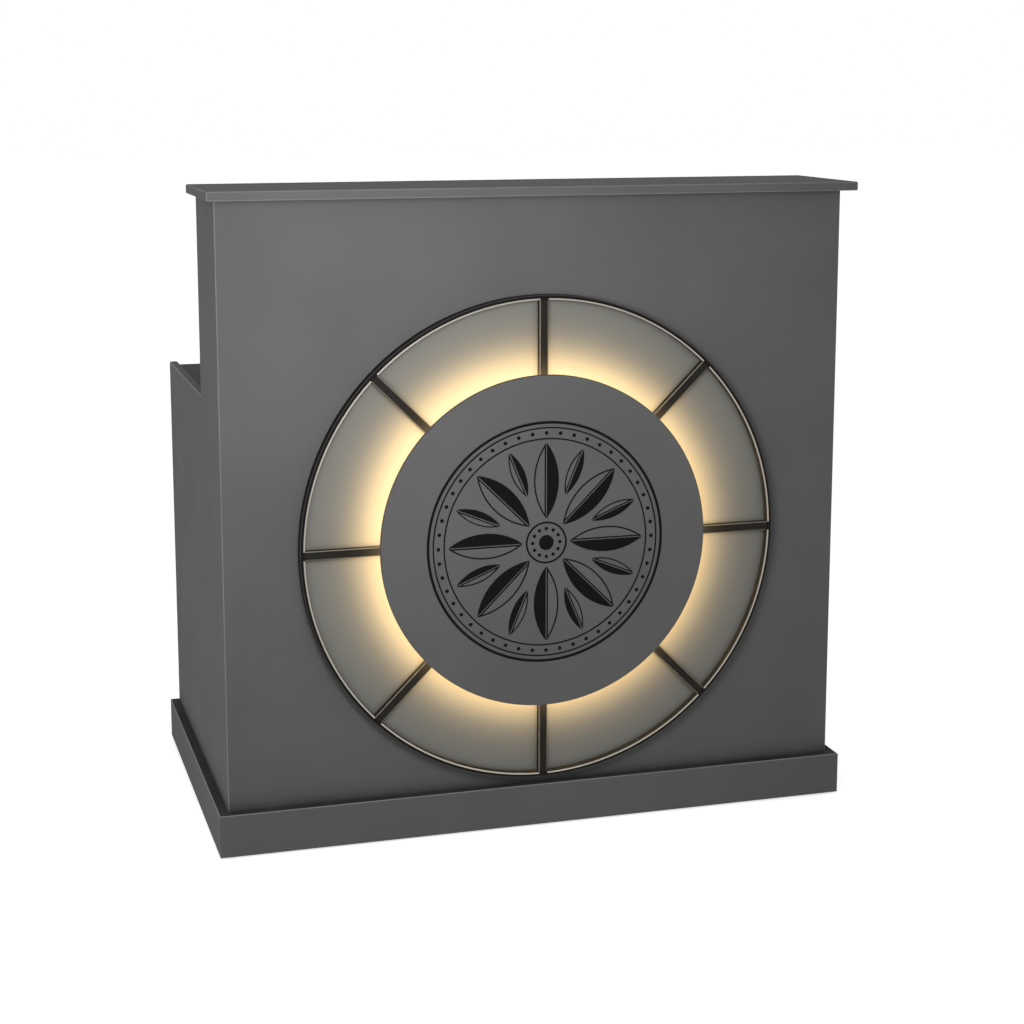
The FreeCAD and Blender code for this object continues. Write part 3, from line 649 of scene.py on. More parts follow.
# The same coat on the ring, with a painted highlight on its outer edge and painted warm light inside from the lit plate
RING_COAT = LitRing("black_powder_coated_ring", "#100f0e", 0.5, specular=0.1, depth_mm=0.03)
# Champagne anodised aluminium: pale warm metal, brushed, so that its highlight runs long
CHAMPAGNE = Drawn("champagne_anodised_aluminium", "#a8a298", 0.34, 1.0, grain_mm=1.0, stretch=(1.0, 12.0, 1.0))
# Zinc-plated sheet steel: bluish bright metal in patches
ZINC = Plated("zinc_plated_steel", "#c3c6ca", 0.34, 1.0)
# Nickel-plated brass of the lock: smooth, warm and bright
NICKEL = Plated("nickel_plated_brass", "#c4bfb5", 0.24, 1.0, patch_mm=12.0, dull_colour="#b3aea4")
# Satin nickel of the lock's barrel: turned, so duller than its housing
SATIN_NICKEL = Drawn("satin_nickel_turned_barrel", "#8f8b84", 0.36, 1.0, grain_mm=0.8, stretch=(1.0, 1.0, 8.0))
# Moulded black ABS with a fine spark-eroded grain of about 0.5 mm, drawn at 1.2 mm
BLACK_ABS = Finish("moulded_black_abs", "#1d1d1e", 0.5, specular=0.4, grain_mm=1.2, depth_mm=0.03)
# Extruded aluminium case with die lines along its length
EXTRUDED = Drawn("extruded_aluminium_case", "#b4b6b8", 0.4, 1.0, grain_mm=1.2)
# Expanded PVC foam board: chalky white with open cells
FOAM_BOARD = Finish("expanded_pvc_foam_board", "#e4e2dc", 0.75, specular=0.2, grain_mm=1.5, depth_mm=0.05)
# Cut black vinyl film: thin, even and matt
VINYL = Finish("cut_black_vinyl_film", "#141414", 0.7, specular=0.04, grain_mm=6.0, depth_mm=0.01)
# Warm white LEDs in clear resin: a glossy band that glows, with brighter chips
LED_BAND = WarmLed("warm_white_led_band", "#ffd89b", 0.2)
LED_CHIP = WarmLed("warm_white_led_chip", "#ffe6bf", 0.2, level=60.0)
# White print on the switch: flat ink
WHITE_INK = Finish("white_pad_printed_ink", "#d8d8d4", 0.6, specular=0.3, grain_mm=1.0, depth_mm=0.005)


class Bench:
    """Modelling steps on one piece at a time, with Blender's own operators."""

    SMOOTH = math.radians(35)

    @staticmethod
    def clear() -> None:
        """Deselects every object."""
        bpy.ops.object.select_all(action="DESELECT")

    @staticmethod
    def settle() -> None:
        """Puts the selected pieces' place, turn and size into their meshes."""
        bpy.ops.object.transform_apply(location=True, rotation=True, scale=True)

    @staticmethod
    def take(pieces: Iterable[Piece]) -> None:
        """Selects only these pieces and makes the first one active.

        Args:
            pieces: The pieces to work on.
        """
        Bench.clear()
        chosen = list(pieces)
        for piece in chosen:
            piece.select_set(True)
        bpy.context.view_layer.objects.active = chosen[0]

    @staticmethod
    def block(size: Iterable[float], at: Iterable[float] = (0, 0, 0), turn: float = 0.0) -> Piece:
        """Starts a piece as a block.

        Args:
            size: Its length along X, Y and Z.
            at: Its middle.
            turn: Its turn about Z.

        Returns:
            The block, with size and place in its mesh.
        """
        Bench.clear()
        bpy.ops.mesh.primitive_cube_add(size=1, rotation=(0, 0, turn), location=at)
        bpy.ops.transform.resize(value=size, orient_type="LOCAL")
        Bench.settle()
        return bpy.context.active_object

    @staticmethod
    def button(name: str, radius: float, height: float, vertices: int, ease: float, segments: int) -> Piece:
        """Models a round button that stands on the XY plane, with its upper rim eased.

        Args:
            name: Its name.
            radius: Its radius.
            height: Its height.
            vertices: Corners of its outline.
            ease: Width of the eased rim.
            segments: Steps across that rim.

        Returns:
            The button.
        """
        Bench.clear()
        bpy.ops.mesh.primitive_cylinder_add(vertices=vertices, radius=radius, depth=height, location=(0, 0, height / 2))
        Bench.pick(lambda face: face.normal.z > LOOKS)
        bpy.ops.mesh.bevel(offset=ease, segments=segments, affect="EDGES")
        return Bench.close(name)

    @staticmethod
    def pick(test: Callable[[Any], bool], edges: bool = False) -> None:
        """Opens the active piece for editing and selects the faces or edges that pass a test.

        Args:
            test: Tells whether a face or edge is wanted.
            edges: True to choose among edges.
        """
        bpy.ops.object.mode_set(mode="EDIT")
        bpy.ops.mesh.select_mode(type="EDGE" if edges else "FACE")
        bpy.ops.mesh.select_all(action="DESELECT")
        mesh = bpy.context.edit_object.data
        shape = bmesh.from_edit_mesh(mesh)
        for item in shape.edges if edges else shape.faces:
            item.select_set(test(item))
        bmesh.update_edit_mesh(mesh)

    @staticmethod
    def hollow(width: float) -> None:
        """Cuts the selected face away, apart from a line of that width along its outline."""
        bpy.ops.mesh.inset(thickness=width)
        bpy.ops.mesh.delete(type="FACE")

    @staticmethod
    def close(name: str) -> Piece:
        """Ends editing, puts the piece's place into its mesh and names it.

        Args:
            name: The piece's name.

        Returns:
            The piece.
        """
        if bpy.context.mode != "OBJECT":
            bpy.ops.object.mode_set(mode="OBJECT")
        Bench.settle()
        piece = bpy.context.active_object
        piece.name = name
        piece.data.name = name
        return piece

    @staticmethod
    def modify(piece: Piece, kind: str, **settings: Any) -> None:
        """Adds a modifier and applies it.

        Args:
            piece: The piece that is changed.
            kind: Blender's type name of the modifier.
            **settings: The modifier's settings.
        """
        Bench.take([piece])
        made = piece.modifiers.new(kind.lower(), kind)
        for name, value in settings.items():
            setattr(made, name, value)
        bpy.ops.object.modifier_apply(modifier=made.name)

    @staticmethod
    def repeat(model: Piece, places: Iterable[Matrix], name: str) -> Piece:
        """Copies a model to several places, each copy with its own mesh, and joins the copies.

        Args:
            model: The piece that is copied, and then removed.
            places: Where the copies go.
            name: The joined piece's name.

        Returns:
            The joined piece.
        """
        copies = []
        for place in places:
            twin = model.copy()
            twin.data = model.data.copy()
            bpy.context.scene.collection.objects.link(twin)
            twin.matrix_world = place
            copies.append(twin)
        bpy.data.objects.remove(model)
        Bench.take(copies)
        Bench.settle()
        if len(copies) > 1:
            bpy.ops.object.join()
        return Bench.close(name)

    @staticmethod
    def fit(piece: Piece, body: Body, slot: str, finish: Finish) -> None:
        """Gives a finished piece its finish and lets it ride on a body.

        Args:
            piece: The finished piece.
            body: The body that carries it.
            slot: The record's material slot; not used.
            finish: Its finish.
        """
        Bench.take([piece])
        bpy.ops.object.shade_smooth_by_angle(angle=Bench.SMOOTH)
        piece.data.materials.clear()
        piece.data.materials.append(finish.material())
        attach(piece, body.value)
        log.info("%s rides on %s, in %s", piece.name, body.value, finish.name)


@dataclass
class Screws:
    """Cross-recessed pan-head screws in zinc, modelled once in millimetres.

    Attributes:
        radius: The head's radius.
        height: The head's height.
        slot: Width of the cross recess.
        depth: Depth of the cross recess.
        cross: Length of the cross recess, in radii.
        dome: Share of the height that the rim's rounding takes.
    """

    radius: float = 3.6
    height: float = 2.0
    slot: float = 0.95
    depth: float = 1.1
    cross: float = 1.1
    dome: float = 0.42

    def model(self) -> Piece:
        """Models one head with its base on the XY plane.

        Returns:
            The head, at a thousand times its size.
        """
        dome = self.height * self.dome
        head = Bench.button("screw_head", self.radius, self.height, vertices=20, ease=dome, segments=3)
        for turn in (0, math.pi / 2):
            size = (self.radius * self.cross, self.slot, 2 * self.depth)
            cutter = Bench.block(size, (0, 0, self.height), turn)
            Bench.modify(head, "BOOLEAN", object=cutter, operation="DIFFERENCE", solver="EXACT")
            bpy.data.objects.remove(cutter)
        return head

    def drive(self, spots: Iterable[Spot], name: str, body: Body, flat: float = 1.0) -> None:
        """Puts screws at spots.

        Args:
            spots: Points in metres, each with the way that the head looks.
            name: Name of the joined piece.
            body: The body that carries it.
            flat: Share of the head's height that stands proud.
        """
        size = Matrix.Diagonal((MM, MM, MM * flat, 1))
        places = [Matrix.Translation(point) @ side.value @ size for point, side in spots]
        Bench.fit(Bench.repeat(self.model(), places, name), body, "zinc_steel", ZINC)


class SubAssembly(ABC):
    """A part of the desk that finishes its CAD nodes and adds small pieces of its own.

    Attributes:
        finishes: The finishes of its CAD nodes, each with the nodes' names.
    """

    finishes: ClassVar[dict[Finish, tuple[str, ...]]]

    def dress(self) -> None:
        """Gives the part's CAD nodes their finishes."""
        for finish, names in self.finishes.items():
            for name in names:
                mesh = frame["nodes"][name].data
                mesh.materials.clear()
                mesh.materials.append(finish.material())
                log.info("%s is finished in %s", name, finish.name)

    @abstractmethod
    def build(self) -> None:
        """Adds the part's own pieces."""


@dataclass
class Carcass(SubAssembly):
    """The painted boards, their plinth and the fittings between them, with sizes in metres.

    Attributes:
        screws: The screws of the brackets.
        sheet: Thickness of the brackets' steel.
        holes: Distances of a bracket's holes from its corner.
        bracket_inset: Distance of a bracket's middle from the row's end.
        cap_radius: Radius of the caps over the board connectors.
        cap_height: How far a cap stands proud.
        cap_ease: Width of its eased rim.
        divider_insets: Distance of the divider's caps from its edges, along Y and Z.
        partition_insets: Distance of the partition's caps from its front and back.
    """

    finishes = {
        GREY_LACQUER: ("counter_top", "counter_divider"),
        WORKTOP_LACQUER: ("worktop",),
        FOOT_LACQUER: (
            "front_panel", "left_side_panel", "right_side_panel", "plinth_front", "plinth_left", "plinth_right",
        ),
        ZINC: ("corner_brackets", "levelling_feet"),
        BLACK_ABS: ("cable_grommet",),
    }
    screws: Screws = field(default_factory=Screws)
    sheet: float = 2.5 * MM
    holes: tuple[float, float] = (15 * MM, 31 * MM)
    bracket_inset: float = 110 * MM
    cap_radius: float = 9 * MM
    cap_height: float = 1.2 * MM
    cap_ease: float = 0.72 * MM
    divider_insets: tuple[float, float] = (45 * MM, 34 * MM)
    partition_insets: tuple[float, float] = (160 * MM, 90 * MM)

    def build(self) -> None:
        """Adds the brackets' screws and the connectors' caps."""
        self.bracket_screws()
        self.connector_caps()

    def bracket_screws(self) -> None:
        """Puts two screws into each leg of the six brackets."""
        low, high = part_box("corner_brackets")
        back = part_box("worktop")[1].y
        spots: list[Spot] = []
        for y in (low.y + self.bracket_inset, back - self.bracket_inset):
            for x, way, side in ((low.x, 1, Side.RIGHT), (high.x, -1, Side.LEFT)):
                for hole in self.holes:
                    spots.append((Vector((x + way * hole, y, high.z - self.sheet)), Side.DOWN))
                    spots.append((Vector((x + way * self.sheet, y, high.z - hole)), side))
        for x in (low.x + self.bracket_inset, high.x - self.bracket_inset):
            for hole in self.holes:
                spots.append((Vector((x, low.y + hole, high.z - self.sheet)), Side.DOWN))
                spots.append((Vector((x, low.y + self.sheet, high.z - hole)), Side.BACK))
        self.screws.drive(spots, "bracket_screws", Body.CARCASS)

    def connector_caps(self) -> None:
        """Puts moulded caps over the connectors in the divider and the partition."""
        cap = Bench.button("cap", self.cap_radius, self.cap_height, vertices=32, ease=self.cap_ease, segments=2)
        spots: list[Spot] = []
        low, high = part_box("counter_divider")
        along, up = self.divider_insets
        for y in (low.y + along, high.y - along):
            for z in (low.z + up, high.z - up):
                spots.append((Vector((low.x, y, z)), Side.LEFT))
                spots.append((Vector((high.x, y, z)), Side.RIGHT))
        low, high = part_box("pedestal_partition")
        front, back = self.partition_insets
        for shelf in ("pedestal_mid_shelf", "pedestal_bottom"):
            for y in (low.y + front, high.y - back):
                spots.append((Vector((low.x, y, middle(shelf).z)), Side.LEFT))
        places = [Matrix.Translation(point) @ side.value for point, side in spots]
        Bench.fit(Bench.repeat(cap, places, "connector_caps"), Body.CARCASS, "black_plastic", BLACK_ABS)


@dataclass
class Pedestal(SubAssembly):
    """The drawer and cupboard unit on the staff side, with sizes in metres.

    Attributes:
        screws: The screws that hold handles, hinges and strike.
        handle_leg: Distance of a handle's screw from its end.
        strike_sheet: Thickness of the strike's steel.
        strike_inset: Distance of its holes from its edges.
        leaf_sheet: Thickness of a hinge leaf.
        leaf_height: Height of a hinge leaf.
        leaf_row: Distance of its holes from its edge.
        leaf_holes: Places of its holes, as shares of its height.
        flush: Share of a screw's height that shows on a hinge leaf.
        catch_margin: How much shorter than the catch its plates are.
        catch_ease: Width of their eased corners.
        pole: A magnet pole's thickness and height.
        pole_back: How far behind the catch's face a pole starts.
        pole_rises: Heights of the poles above the catch's foot.
        plate: The door plate's thickness and height.
        plate_proud: How far the door plate stands out of the door.
        plate_rise: Height of its middle above the catch's foot.
    """

    finishes = {
        GREY_LACQUER: (
            "pedestal_partition", "pedestal_bottom", "pedestal_toe_board", "pedestal_mid_shelf", "cupboard_shelf",
            "drawer_front", "cupboard_door",
        ),
        MELAMINE: ("pedestal_back", "drawer_left_wall", "drawer_right_wall", "drawer_back_wall", "drawer_bottom"),
        POWDER_COAT: ("drawer_handle", "door_handle"),
        NICKEL: ("lock_housing",),
        SATIN_NICKEL: ("lock_barrel",),
        BLACK_ABS: ("shelf_supports", "door_catch"),
        ZINC: (
            *(f"{side}_runner_{part}" for side in ("left", "right") for part in ("fixed", "middle", "inner")),
            "lock_cam", "lock_strike", "hinge_frame_leaves", "hinge_door_leaves", "hinge_pins",
        ),
    }
    screws: Screws = field(default_factory=lambda: Screws(radius=3.2, height=1.8))
    handle_leg: float = 4 * MM
    strike_sheet: float = 2 * MM
    strike_inset: float = 9 * MM
    leaf_sheet: float = 1.1 * MM
    leaf_height: float = 62 * MM
    leaf_row: float = 6.5 * MM
    leaf_holes: tuple[float, float, float] = (0.16, 0.5, 0.84)
    flush: float = 0.06
    catch_margin: float = 10 * MM
    catch_ease: float = 0.6 * MM
    pole: tuple[float, float] = (2.2 * MM, 2.2 * MM)
    pole_back: float = 2 * MM
    pole_rises: tuple[float, float] = (3 * MM, 8 * MM)
    plate: tuple[float, float] = (0.4 * MM, 9 * MM)
    plate_proud: float = 0.22 * MM
    plate_rise: float = 5.5 * MM

    def build(self) -> None:
        """Adds the unit's screws and the plates of its catch."""
        self.handle_screws()
        self.strike_screws()
        self.hinge_screws()
        self.catch_plates()

    def handle_screws(self) -> None:
        """Puts the screws that hold each bow handle into the inner face of its front."""
        low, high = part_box("drawer_handle")
        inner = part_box("drawer_front")[0].y
        ends = (low.x + self.handle_leg, high.x - self.handle_leg)
        spots = [(Vector((x, inner, middle("drawer_handle").z)), Side.FRONT) for x in ends]
        self.screws.drive(spots, "drawer_handle_screws", Body.DRAWER)
        low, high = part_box("door_handle")
        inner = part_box("cupboard_door")[0].y
        ends = (low.z + self.handle_leg, high.z - self.handle_leg)
        spots = [(Vector((middle("door_handle").x, inner, z)), Side.FRONT) for z in ends]
        self.screws.drive(spots, "door_handle_screws", Body.DOOR)

    def strike_screws(self) -> None:
        """Puts two screws up through the foot of the lock's strike."""
        low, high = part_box("lock_strike")
        y, z = low.y + self.strike_inset, high.z - self.strike_sheet
        ends = (low.x + self.strike_inset, high.x - self.strike_inset)
        self.screws.drive([(Vector((x, y, z)), Side.DOWN) for x in ends], "strike_screws", Body.CARCASS)

    def hinge_screws(self) -> None:
        """Puts flush screws into the hinge leaves, three to a leaf."""
        for node, name, body, side in (
            ("hinge_frame_leaves", "frame_leaf_screws", Body.CARCASS, Side.LEFT),
            ("hinge_door_leaves", "door_leaf_screws", Body.DOOR, Side.RIGHT),
        ):
            low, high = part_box(node)
            x = high.x - self.leaf_sheet if side is Side.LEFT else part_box("cupboard_door")[1].x + self.leaf_sheet
            spots = [
                (Vector((x, low.y + self.leaf_row, foot + share * self.leaf_height)), side)
                for foot in (low.z, high.z - self.leaf_height) for share in self.leaf_holes
            ]
            self.screws.drive(spots, name, body, self.flush)

    def catch_plates(self) -> None:
        """Puts the magnet's two steel poles on the catch and the thin plate that they hold on the door."""
        low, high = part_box("door_catch")
        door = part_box("cupboard_door")[0].y
        poles = [low.z + rise + self.pole[1] / 2 for rise in self.pole_rises]
        for name, body, y, (thick, tall), heights in (
            ("catch_poles", Body.CARCASS, high.y - self.pole_back, self.pole, poles),
            ("door_strike_plate", Body.DOOR, door - self.plate_proud, self.plate, [low.z + self.plate_rise]),
        ):
            Bench.block((high.x - low.x - self.catch_margin, thick, tall))
            Bench.pick(lambda edge: abs(edge.verts[0].co.y - edge.verts[1].co.y) > thick / 2, edges=True)
            bpy.ops.mesh.bevel(offset=self.catch_ease, segments=2, affect="EDGES")
            model = Bench.close("plate")
            places = [Matrix.Translation((middle("door_catch").x, y + thick / 2, z)) for z in heights]
            Bench.fit(Bench.repeat(model, places, name), body, "zinc_steel", ZINC)


@dataclass
class Emblem:
    """A traditional eight-petal rosette of cut film on the medallion.

    Attributes:
        centre: The medallion's middle on its face, in metres.
        film: Thickness of the film.
        gap: Half of the gap between a petal's two halves.
        petals: Number of petals in each wreath.
    """

    centre: Vector
    film: float = 0.4 * MM
    gap: float = 0.8 * MM
    petals: int = 8

    def face(self, radius: float, vertices: int) -> None:
        """Starts a filled upright circle and opens it for editing, all selected.

        Args:
            radius: The circle's radius.
            vertices: How many corners it has.
        """
        Bench.clear()
        bpy.ops.mesh.primitive_circle_add(
            vertices=vertices, radius=radius, fill_type="NGON", rotation=(math.pi / 2, 0, 0),
        )
        Bench.settle()
        Bench.pick(lambda face: True)

    def thicken(self, name: str, places: Iterable[Matrix]) -> None:
        """Ends a flat piece, repeats it round the middle and gives it the film's thickness.

        Args:
            name: The finished piece's name.
            places: Where its copies go, from the medallion's middle.
        """
        model = Bench.close("film")
        here = Matrix.Translation(self.centre)
        piece = Bench.repeat(model, [here @ place for place in places], name)
        Bench.modify(piece, "SOLIDIFY", thickness=self.film, offset=1.0, use_even_offset=False)
        Bench.fit(piece, Body.CARCASS, "black_plastic", VINYL)

    def ring(self, name: str, outer: float, width: float) -> None:
        """Cuts a ring.

        Args:
            name: The ring's name.
            outer: Its outer radius.
            width: Its width.
        """
        self.face(outer, vertices=180)
        Bench.hollow(width)
        self.thicken(name, [Matrix.Identity(4)])

    def spread(self, count: int, distance: float, start: float = 0.0) -> list[Matrix]:
        """Places round the middle.

        Args:
            count: How many places.
            distance: Their distance from the middle.
            start: The turn of the first one, in steps.

        Returns:
            A matrix for each, turned so that its own +Z looks outwards.
        """
        step = 2 * math.pi / count
        out = Matrix.Translation((0, 0, distance))
        return [Matrix.Rotation((i + start) * step, 4, "Y") @ out for i in range(count)]

    def beads(self, name: str, count: int, distance: float, radius: float) -> None:
        """Cuts a circle of round beads.

        Args:
            name: The beads' name.
            count: How many.
            distance: Their distance from the middle.
            radius: A bead's radius.
        """
        self.face(radius, vertices=20)
        self.thicken(name, self.spread(count, distance))

    def wreath(self, name: str, length: float, half_width: float, distance: float, start: float, line: float) -> None:
        """Cuts a wreath of pointed petals, each with a filled right half and an outlined left half.

        Args:
            name: The wreath's name.
            length: A petal's length from tip to tip.
            half_width: How far its curved sides stand from its middle line.
            distance: Distance of its middle from the medallion's middle.
            start: The turn of the first petal, in steps.
            line: Width of the outline.
        """
        radius = (length ** 2 / 4 + half_width ** 2) / (2 * half_width)
        right = Matrix.Translation((half_width - radius + self.gap, 0, 0))
        left = Matrix.Rotation(math.pi, 4, "Y") @ right
        places = self.spread(self.petals, distance, start)
        for half, outlined, beside in (("shades", False, right), ("lines", True, left)):
            self.face(radius, vertices=240)
            bpy.ops.mesh.bisect(
                plane_co=(radius - half_width, 0, 0), plane_no=(1, 0, 0), use_fill=False, clear_inner=True,
            )
            bpy.ops.mesh.select_all(action="SELECT")
            if outlined:
                Bench.hollow(line)
            self.thicken(f"{name}_{half}", [place @ beside for place in places])

    def build(self) -> None:
        """Cuts the whole rosette."""
        self.ring("rosette_outer_ring", outer=207 * MM, width=4.5 * MM)
        self.ring("rosette_thin_ring", outer=197 * MM, width=2.4 * MM)
        self.beads("rosette_beads", count=48, distance=187 * MM, radius=3.2 * MM)
        self.ring("rosette_bead_ring", outer=178.5 * MM, width=2.4 * MM)
        self.wreath("rosette_petal", 128 * MM, half_width=21 * MM, distance=106 * MM, start=0.0, line=2.4 * MM)
        self.wreath("rosette_leaf", 82 * MM, half_width=11 * MM, distance=128 * MM, start=0.5, line=2.0 * MM)
        self.ring("rosette_eye_ring", outer=36 * MM, width=3.0 * MM)
        self.beads("rosette_eye_beads", count=12, distance=24 * MM, radius=3.0 * MM)
        self.beads("rosette_eye", count=1, distance=0.0, radius=13 * MM)


@dataclass
class LightWheel(SubAssembly):
    """The round light on the front: lit plate, ring, trim, spokes, LED strip and medallion.

    Attributes:
        chips: Number of LEDs on the strip, about sixty to a metre.
        chip: An LED's length, height and thickness, in metres.
        lens_inset: Distance of its lens from its edge.
        lens_height: How far the lens stands proud.
    """

    finishes = {
        LIT_PANEL: ("backing_disc",),
        RING_COAT: ("ring_frame",),
        LIT_SPOKE: tuple(f"spoke_{i + 1}" for i in range(LIT_PANEL.spokes)),
        CHAMPAGNE: ("ring_trim",),
        FOAM_BOARD: ("led_carrier",),
        LED_BAND: ("led_strip",),
        MEDALLION_LACQUER: ("medallion_disc",),
    }
    chips: int = 96
    chip: tuple[float, float, float] = (5.0 * MM, 5.0 * MM, 1.4 * MM)
    lens_inset: float = 0.8 * MM
    lens_height: float = 0.3 * MM

    def build(self) -> None:
        """Puts the LEDs on the strip and the rosette on the medallion."""
        low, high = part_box("led_strip")
        Bench.block(self.chip)
        Bench.pick(lambda face: face.normal.z > LOOKS)
        bpy.ops.mesh.inset(thickness=self.lens_inset)
        bpy.ops.mesh.extrude_region_move(TRANSFORM_OT_translate={"value": (0, 0, self.lens_height)})
        model = Bench.close("led")
        hub = Matrix.Translation(middle("led_strip"))
        out = Matrix.Translation((0, 0, (high.x - low.x) / 2))
        turns = [2 * math.pi * i / self.chips for i in range(self.chips)]
        places = [hub @ Matrix.Rotation(turn, 4, "Y") @ out for turn in turns]
        Bench.fit(Bench.repeat(model, places, "led_chips"), Body.CARCASS, "led_glow", LED_CHIP)

        centre = middle("medallion_disc")
        centre.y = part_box("medallion_disc")[0].y
        Emblem(centre).build()


@dataclass
class LightDriver(SubAssembly):
    """The LED driver on the front panel's inner face, with sizes in metres.

    Attributes:
        ribs: Number of cooling ribs on its case.
        rib: A rib's length, height off the case and thickness.
        rib_start: The first rib's distance from the case's end and from its foot.
        rib_sunk: How far a rib goes into the case.
        rib_ease: Width of its eased edges.
        pitch: Distance between ribs.
        ear: Thickness of the case's ears.
        ear_hole: Distance of a screw from an ear's end.
        screws: The screws through the ears.
    """

    finishes = {EXTRUDED: ("led_driver",), BLACK_ABS: ("mains_gland",)}
    ribs: int = 8
    rib: tuple[float, float, float] = (112 * MM, 2.0 * MM, 1.6 * MM)
    rib_start: tuple[float, float] = (26 * MM, 8.5 * MM)
    rib_sunk: float = 0.3 * MM
    rib_ease: float = 0.5 * MM
    pitch: float = 5 * MM
    ear: float = 3 * MM
    ear_hole: float = 7 * MM
    screws: Screws = field(default_factory=Screws)

    def build(self) -> None:
        """Adds cooling ribs and the ears' screws."""
        low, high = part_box("led_driver")
        along, up = self.rib_start
        long, tall, _ = self.rib
        Bench.block(self.rib, (low.x + along + long / 2, high.y + tall / 2 - self.rib_sunk, low.z + up))
        Bench.pick(lambda face: face.normal.y > LOOKS)
        bpy.ops.mesh.bevel(offset=self.rib_ease, segments=2, affect="EDGES")
        ribs = Bench.close("driver_ribs")
        Bench.modify(
            ribs, "ARRAY", count=self.ribs, use_relative_offset=False, use_constant_offset=True,
            constant_offset_displace=(0, 0, self.pitch),
        )
        Bench.fit(ribs, Body.CARCASS, "driver_case", EXTRUDED)
        y, z = low.y + self.ear, middle("led_driver").z
        ends = (low.x + self.ear_hole, high.x - self.ear_hole)
        self.screws.drive([(Vector((x, y, z)), Side.BACK) for x in ends], "driver_screws", Body.CARCASS)


@dataclass
class LightSwitch(SubAssembly):
    """The rocker switch on the partition's knee side, with sizes in metres and turns in degrees.

    Attributes:
        tilt: The rocker's tilt at rest.
        slope: Slope of each half of its face.
        half: Distance of a half's middle from the pivot, outwards and up or down.
        mark: Size of the printed marks.
        bar: How much longer than the mark the bar is, and how much thinner.
        line: Width of the circle's line.
        ink: Thickness of the ink.
    """

    finishes = {BLACK_ABS: ("switch_housing", "switch_rocker")}
    tilt: float = 7.0
    slope: float = 9.46
    half: tuple[float, float] = (3.5 * MM, 6 * MM)
    mark: float = 5.0 * MM
    bar: tuple[float, float] = (1.4, 0.26)
    line: float = 0.9 * MM
    ink: float = 0.12 * MM

    def face(self, up: int) -> Matrix:
        """The place of the upper or lower half of the rocker's face.

        Args:
            up: 1 for the upper half, -1 for the lower one.

        Returns:
            A matrix whose +Z looks out of that half, from its middle.
        """
        pivot = next(j for j in frame["joints"] if j["name"] == "switch_rock")["pos_m"]
        half = Matrix.Translation((-self.half[0], 0, up * self.half[1]))
        lean = Matrix.Rotation(math.radians(-up * self.slope), 4, "Y")
        turn = Matrix.Rotation(math.radians(self.tilt), 4, "Y")
        return Matrix.Translation(pivot) @ turn @ half @ lean @ Side.LEFT.value

    def build(self) -> None:
        """Prints the usual bar and circle on the rocker's two halves."""
        for name, up, vertices in (("rocker_bar", 1, 4), ("rocker_circle", -1, 32)):
            Bench.clear()
            bpy.ops.mesh.primitive_circle_add(vertices=vertices, radius=self.mark / 2, fill_type="NGON")
            if up > 0:
                bpy.ops.transform.rotate(value=math.pi / 4, orient_axis="Z", center_override=(0, 0, 0))
                Bench.settle()
                bpy.ops.transform.resize(value=(*self.bar, 1.0))
                Bench.settle()
            Bench.pick(lambda face: True)
            if up < 0:
                Bench.hollow(self.line)
            piece = Bench.repeat(Bench.close("mark"), [self.face(up)], name)
            Bench.modify(piece, "SOLIDIFY", thickness=self.ink, offset=1.0)
            Bench.fit(piece, Body.ROCKER, "white_plastic", WHITE_INK)


@dataclass(frozen=True)
class Lamp:
    """A square soft lamp, in metres and watts.

    Attributes:
        name: Its name.
        at: Its place.
        aim: The point it looks at.
        power: Its power.
        size: Its side.
    """

    name: str
    at: tuple[float, float, float]
    aim: tuple[float, float, float]
    power: float
    size: float = 0.6

    def hang(self) -> None:
        """Adds the lamp to the scene."""
        Bench.clear()
        bpy.ops.object.light_add(type="AREA", location=self.at)
        made = bpy.context.active_object
        made.name = self.name
        made.data.size = self.size
        made.data.energy = self.power
        made.rotation_euler = (Vector(self.aim) - Vector(self.at)).to_track_quat("-Z", "Y").to_euler()


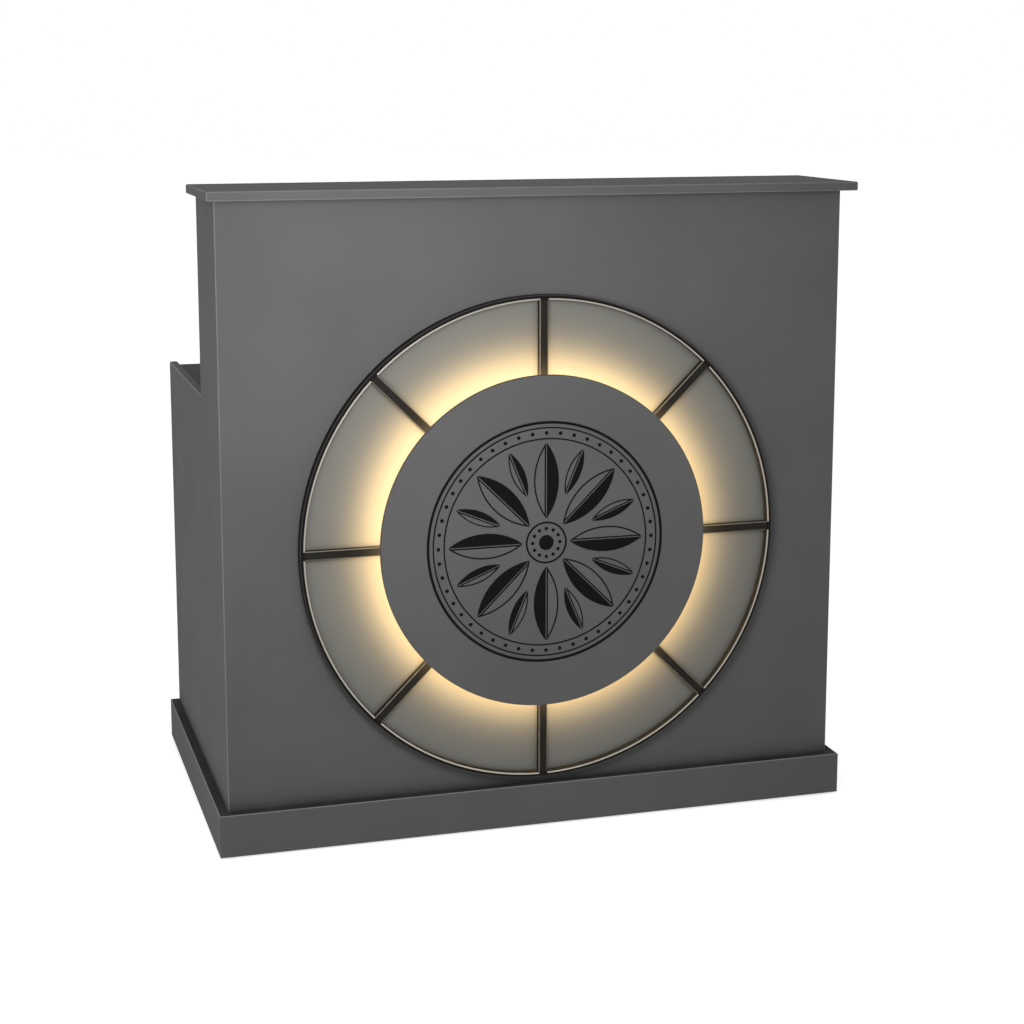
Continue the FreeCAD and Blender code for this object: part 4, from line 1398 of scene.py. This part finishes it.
@dataclass
class Studio:
    """A plain white studio: floor, soft lamps and the camera.

    Attributes:
        eye: The camera's place, in metres.
        yaw: Its turn to the right of +Y, in radians.
        pitch: Its turn downwards.
        lens: Focal length in millimetres.
        sensor: Width of the picture in the camera.
        shift: Vertical shift of the frame.
        lamps: The soft lamps.
        walls: Light from the studio's pale walls.
        ceiling: Light from its darker ceiling.
        wall_span: How far up the walls go full, and where the ceiling has taken over, as sines of the angle.
        window: How much more light the wall on the staff side gives, as a multiple of the others'.
        window_from: Where that starts, as a share of +Y.
        floor_side: The floor's side.
        floor_grey: The paper's colour for the light that it throws back at the desk.
        floor_white: The paper's colour to the eye.
        floor_glow: The white that the paper adds to the eye, so little that the desk's shadow stays.
    """

    eye: tuple[float, float, float] = (-0.984, -3.4739, 1.2738)
    yaw: float = 0.2874
    pitch: float = 0.1692
    lens: float = 70.28
    sensor: float = 36.0
    shift: float = -0.09
    lamps: tuple[Lamp, ...] = (
        Lamp("key_lamp", at=(-0.44, -1.2, 1.03), aim=(-0.08, -0.3, 0.96), power=7.7),
        Lamp("side_lamp", at=(-1.9, -0.3, 0.45), aim=(-0.5, 0.0, 0.75), power=4.0),
        Lamp("right_lamp", at=(1.9, 0.25, 0.45), aim=(0.5, 0.1, 0.7), power=4.5),
    )
    walls: float = 1.36
    ceiling: float = 0.22
    wall_span: tuple[float, float] = (0.05, 0.5)
    window: float = 2.8
    window_from: float = 0.5
    floor_side: float = 60.0
    floor_grey: str = "#b8b8b8"
    floor_white: str = "#fafafa"
    floor_glow: float = 0.64

    def camera(self) -> None:
        """Makes the camera at the photograph's viewing angle."""
        Bench.clear()
        bpy.ops.object.camera_add(location=self.eye, rotation=(math.pi / 2 - self.pitch, 0, -self.yaw))
        made = bpy.context.active_object
        made.name = "camera"
        made.data.lens = self.lens
        made.data.sensor_width = self.sensor
        made.data.shift_y = self.shift
        bpy.context.scene.camera = made

    def seen(self, nodes: Nodes) -> Node:
        """Tells the rays that show the plain white background from those that light the object.

        Args:
            nodes: The node tree that asks.

        Returns:
            1 for camera, glossy and transmission rays, otherwise 0.
        """
        rays = nodes.add("LightPath").outputs
        either = nodes.add("Math", (rays["Is Camera Ray"], rays["Is Glossy Ray"]), operation="MAXIMUM")
        return nodes.add("Math", (either, rays["Is Transmission Ray"]), operation="MAXIMUM")

    def floor(self) -> None:
        """Lays the pale paper floor."""
        Bench.clear()
        bpy.ops.mesh.primitive_plane_add(size=self.floor_side)
        floor = bpy.context.active_object
        floor.name = "studio_floor"
        paper = bpy.data.materials.new("white_studio_paper")
        paper.use_nodes = True
        nodes = Nodes(paper.node_tree)
        seen = self.seen(nodes)
        colour = nodes.add(
            "Mix", {MIX_SHARE: seen, MIX_FIRST: linear(self.floor_grey), MIX_SECOND: linear(self.floor_white)},
            data_type="RGBA",
        )
        matt = nodes.add("BsdfDiffuse", {"Color": colour.outputs[MIX_COLOUR]})
        glow = nodes.add("Math", (seen, self.floor_glow), operation="MULTIPLY")
        both = nodes.add("AddShader", (matt, nodes.add("Emission", {"Strength": glow})))
        nodes.tree.links.new(output(both), nodes.tree.nodes["Material Output"].inputs["Surface"])
        floor.data.materials.append(paper)

    def world(self) -> None:
        """Makes the walls and the ceiling that light the object, in front of a white background."""
        world = bpy.data.worlds.new("white_studio")
        world.use_nodes = True
        bpy.context.scene.world = world
        nodes = Nodes(world.node_tree)
        way = nodes.add("TexCoord").outputs["Generated"]
        axes = nodes.add("SeparateXYZ", {"Vector": way}).outputs
        low, high = self.wall_span
        height = {"Value": axes["Z"], "From Min": low, "From Max": high}
        walls = nodes.add("MapRange", {**height, "To Min": self.walls, "To Max": self.ceiling})
        depth = {"Value": axes["Y"], "From Min": self.window_from}
        behind = nodes.add("MapRange", {**depth, "To Min": 1.0, "To Max": 1 + self.window})
        light = nodes.add("Math", (walls, behind), operation="MULTIPLY")
        level = nodes.add("MapRange", {"Value": self.seen(nodes), "To Min": light, "To Max": 1.0})
        ground = world.node_tree.nodes["Background"]
        ground.inputs["Color"].default_value = (1, 1, 1, 1)
        world.node_tree.links.new(output(level), ground.inputs["Strength"])

    def build(self) -> None:
        """Makes camera, lamps, floor and world, and sets the plain view transform."""
        self.camera()
        for lamp in self.lamps:
            lamp.hang()
        self.floor()
        self.world()
        bpy.context.scene.view_settings.view_transform = "Standard"


def main() -> None:
    """Builds the studio and the desk's sub-assemblies."""
    logging.basicConfig(level=logging.INFO, format="%(name)s: %(message)s")
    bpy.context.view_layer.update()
    Studio().build()
    for part in (Carcass(), Pedestal(), LightWheel(), LightDriver(), LightSwitch()):
        part.dress()
        part.build()


if __name__ == "__main__":
    main()
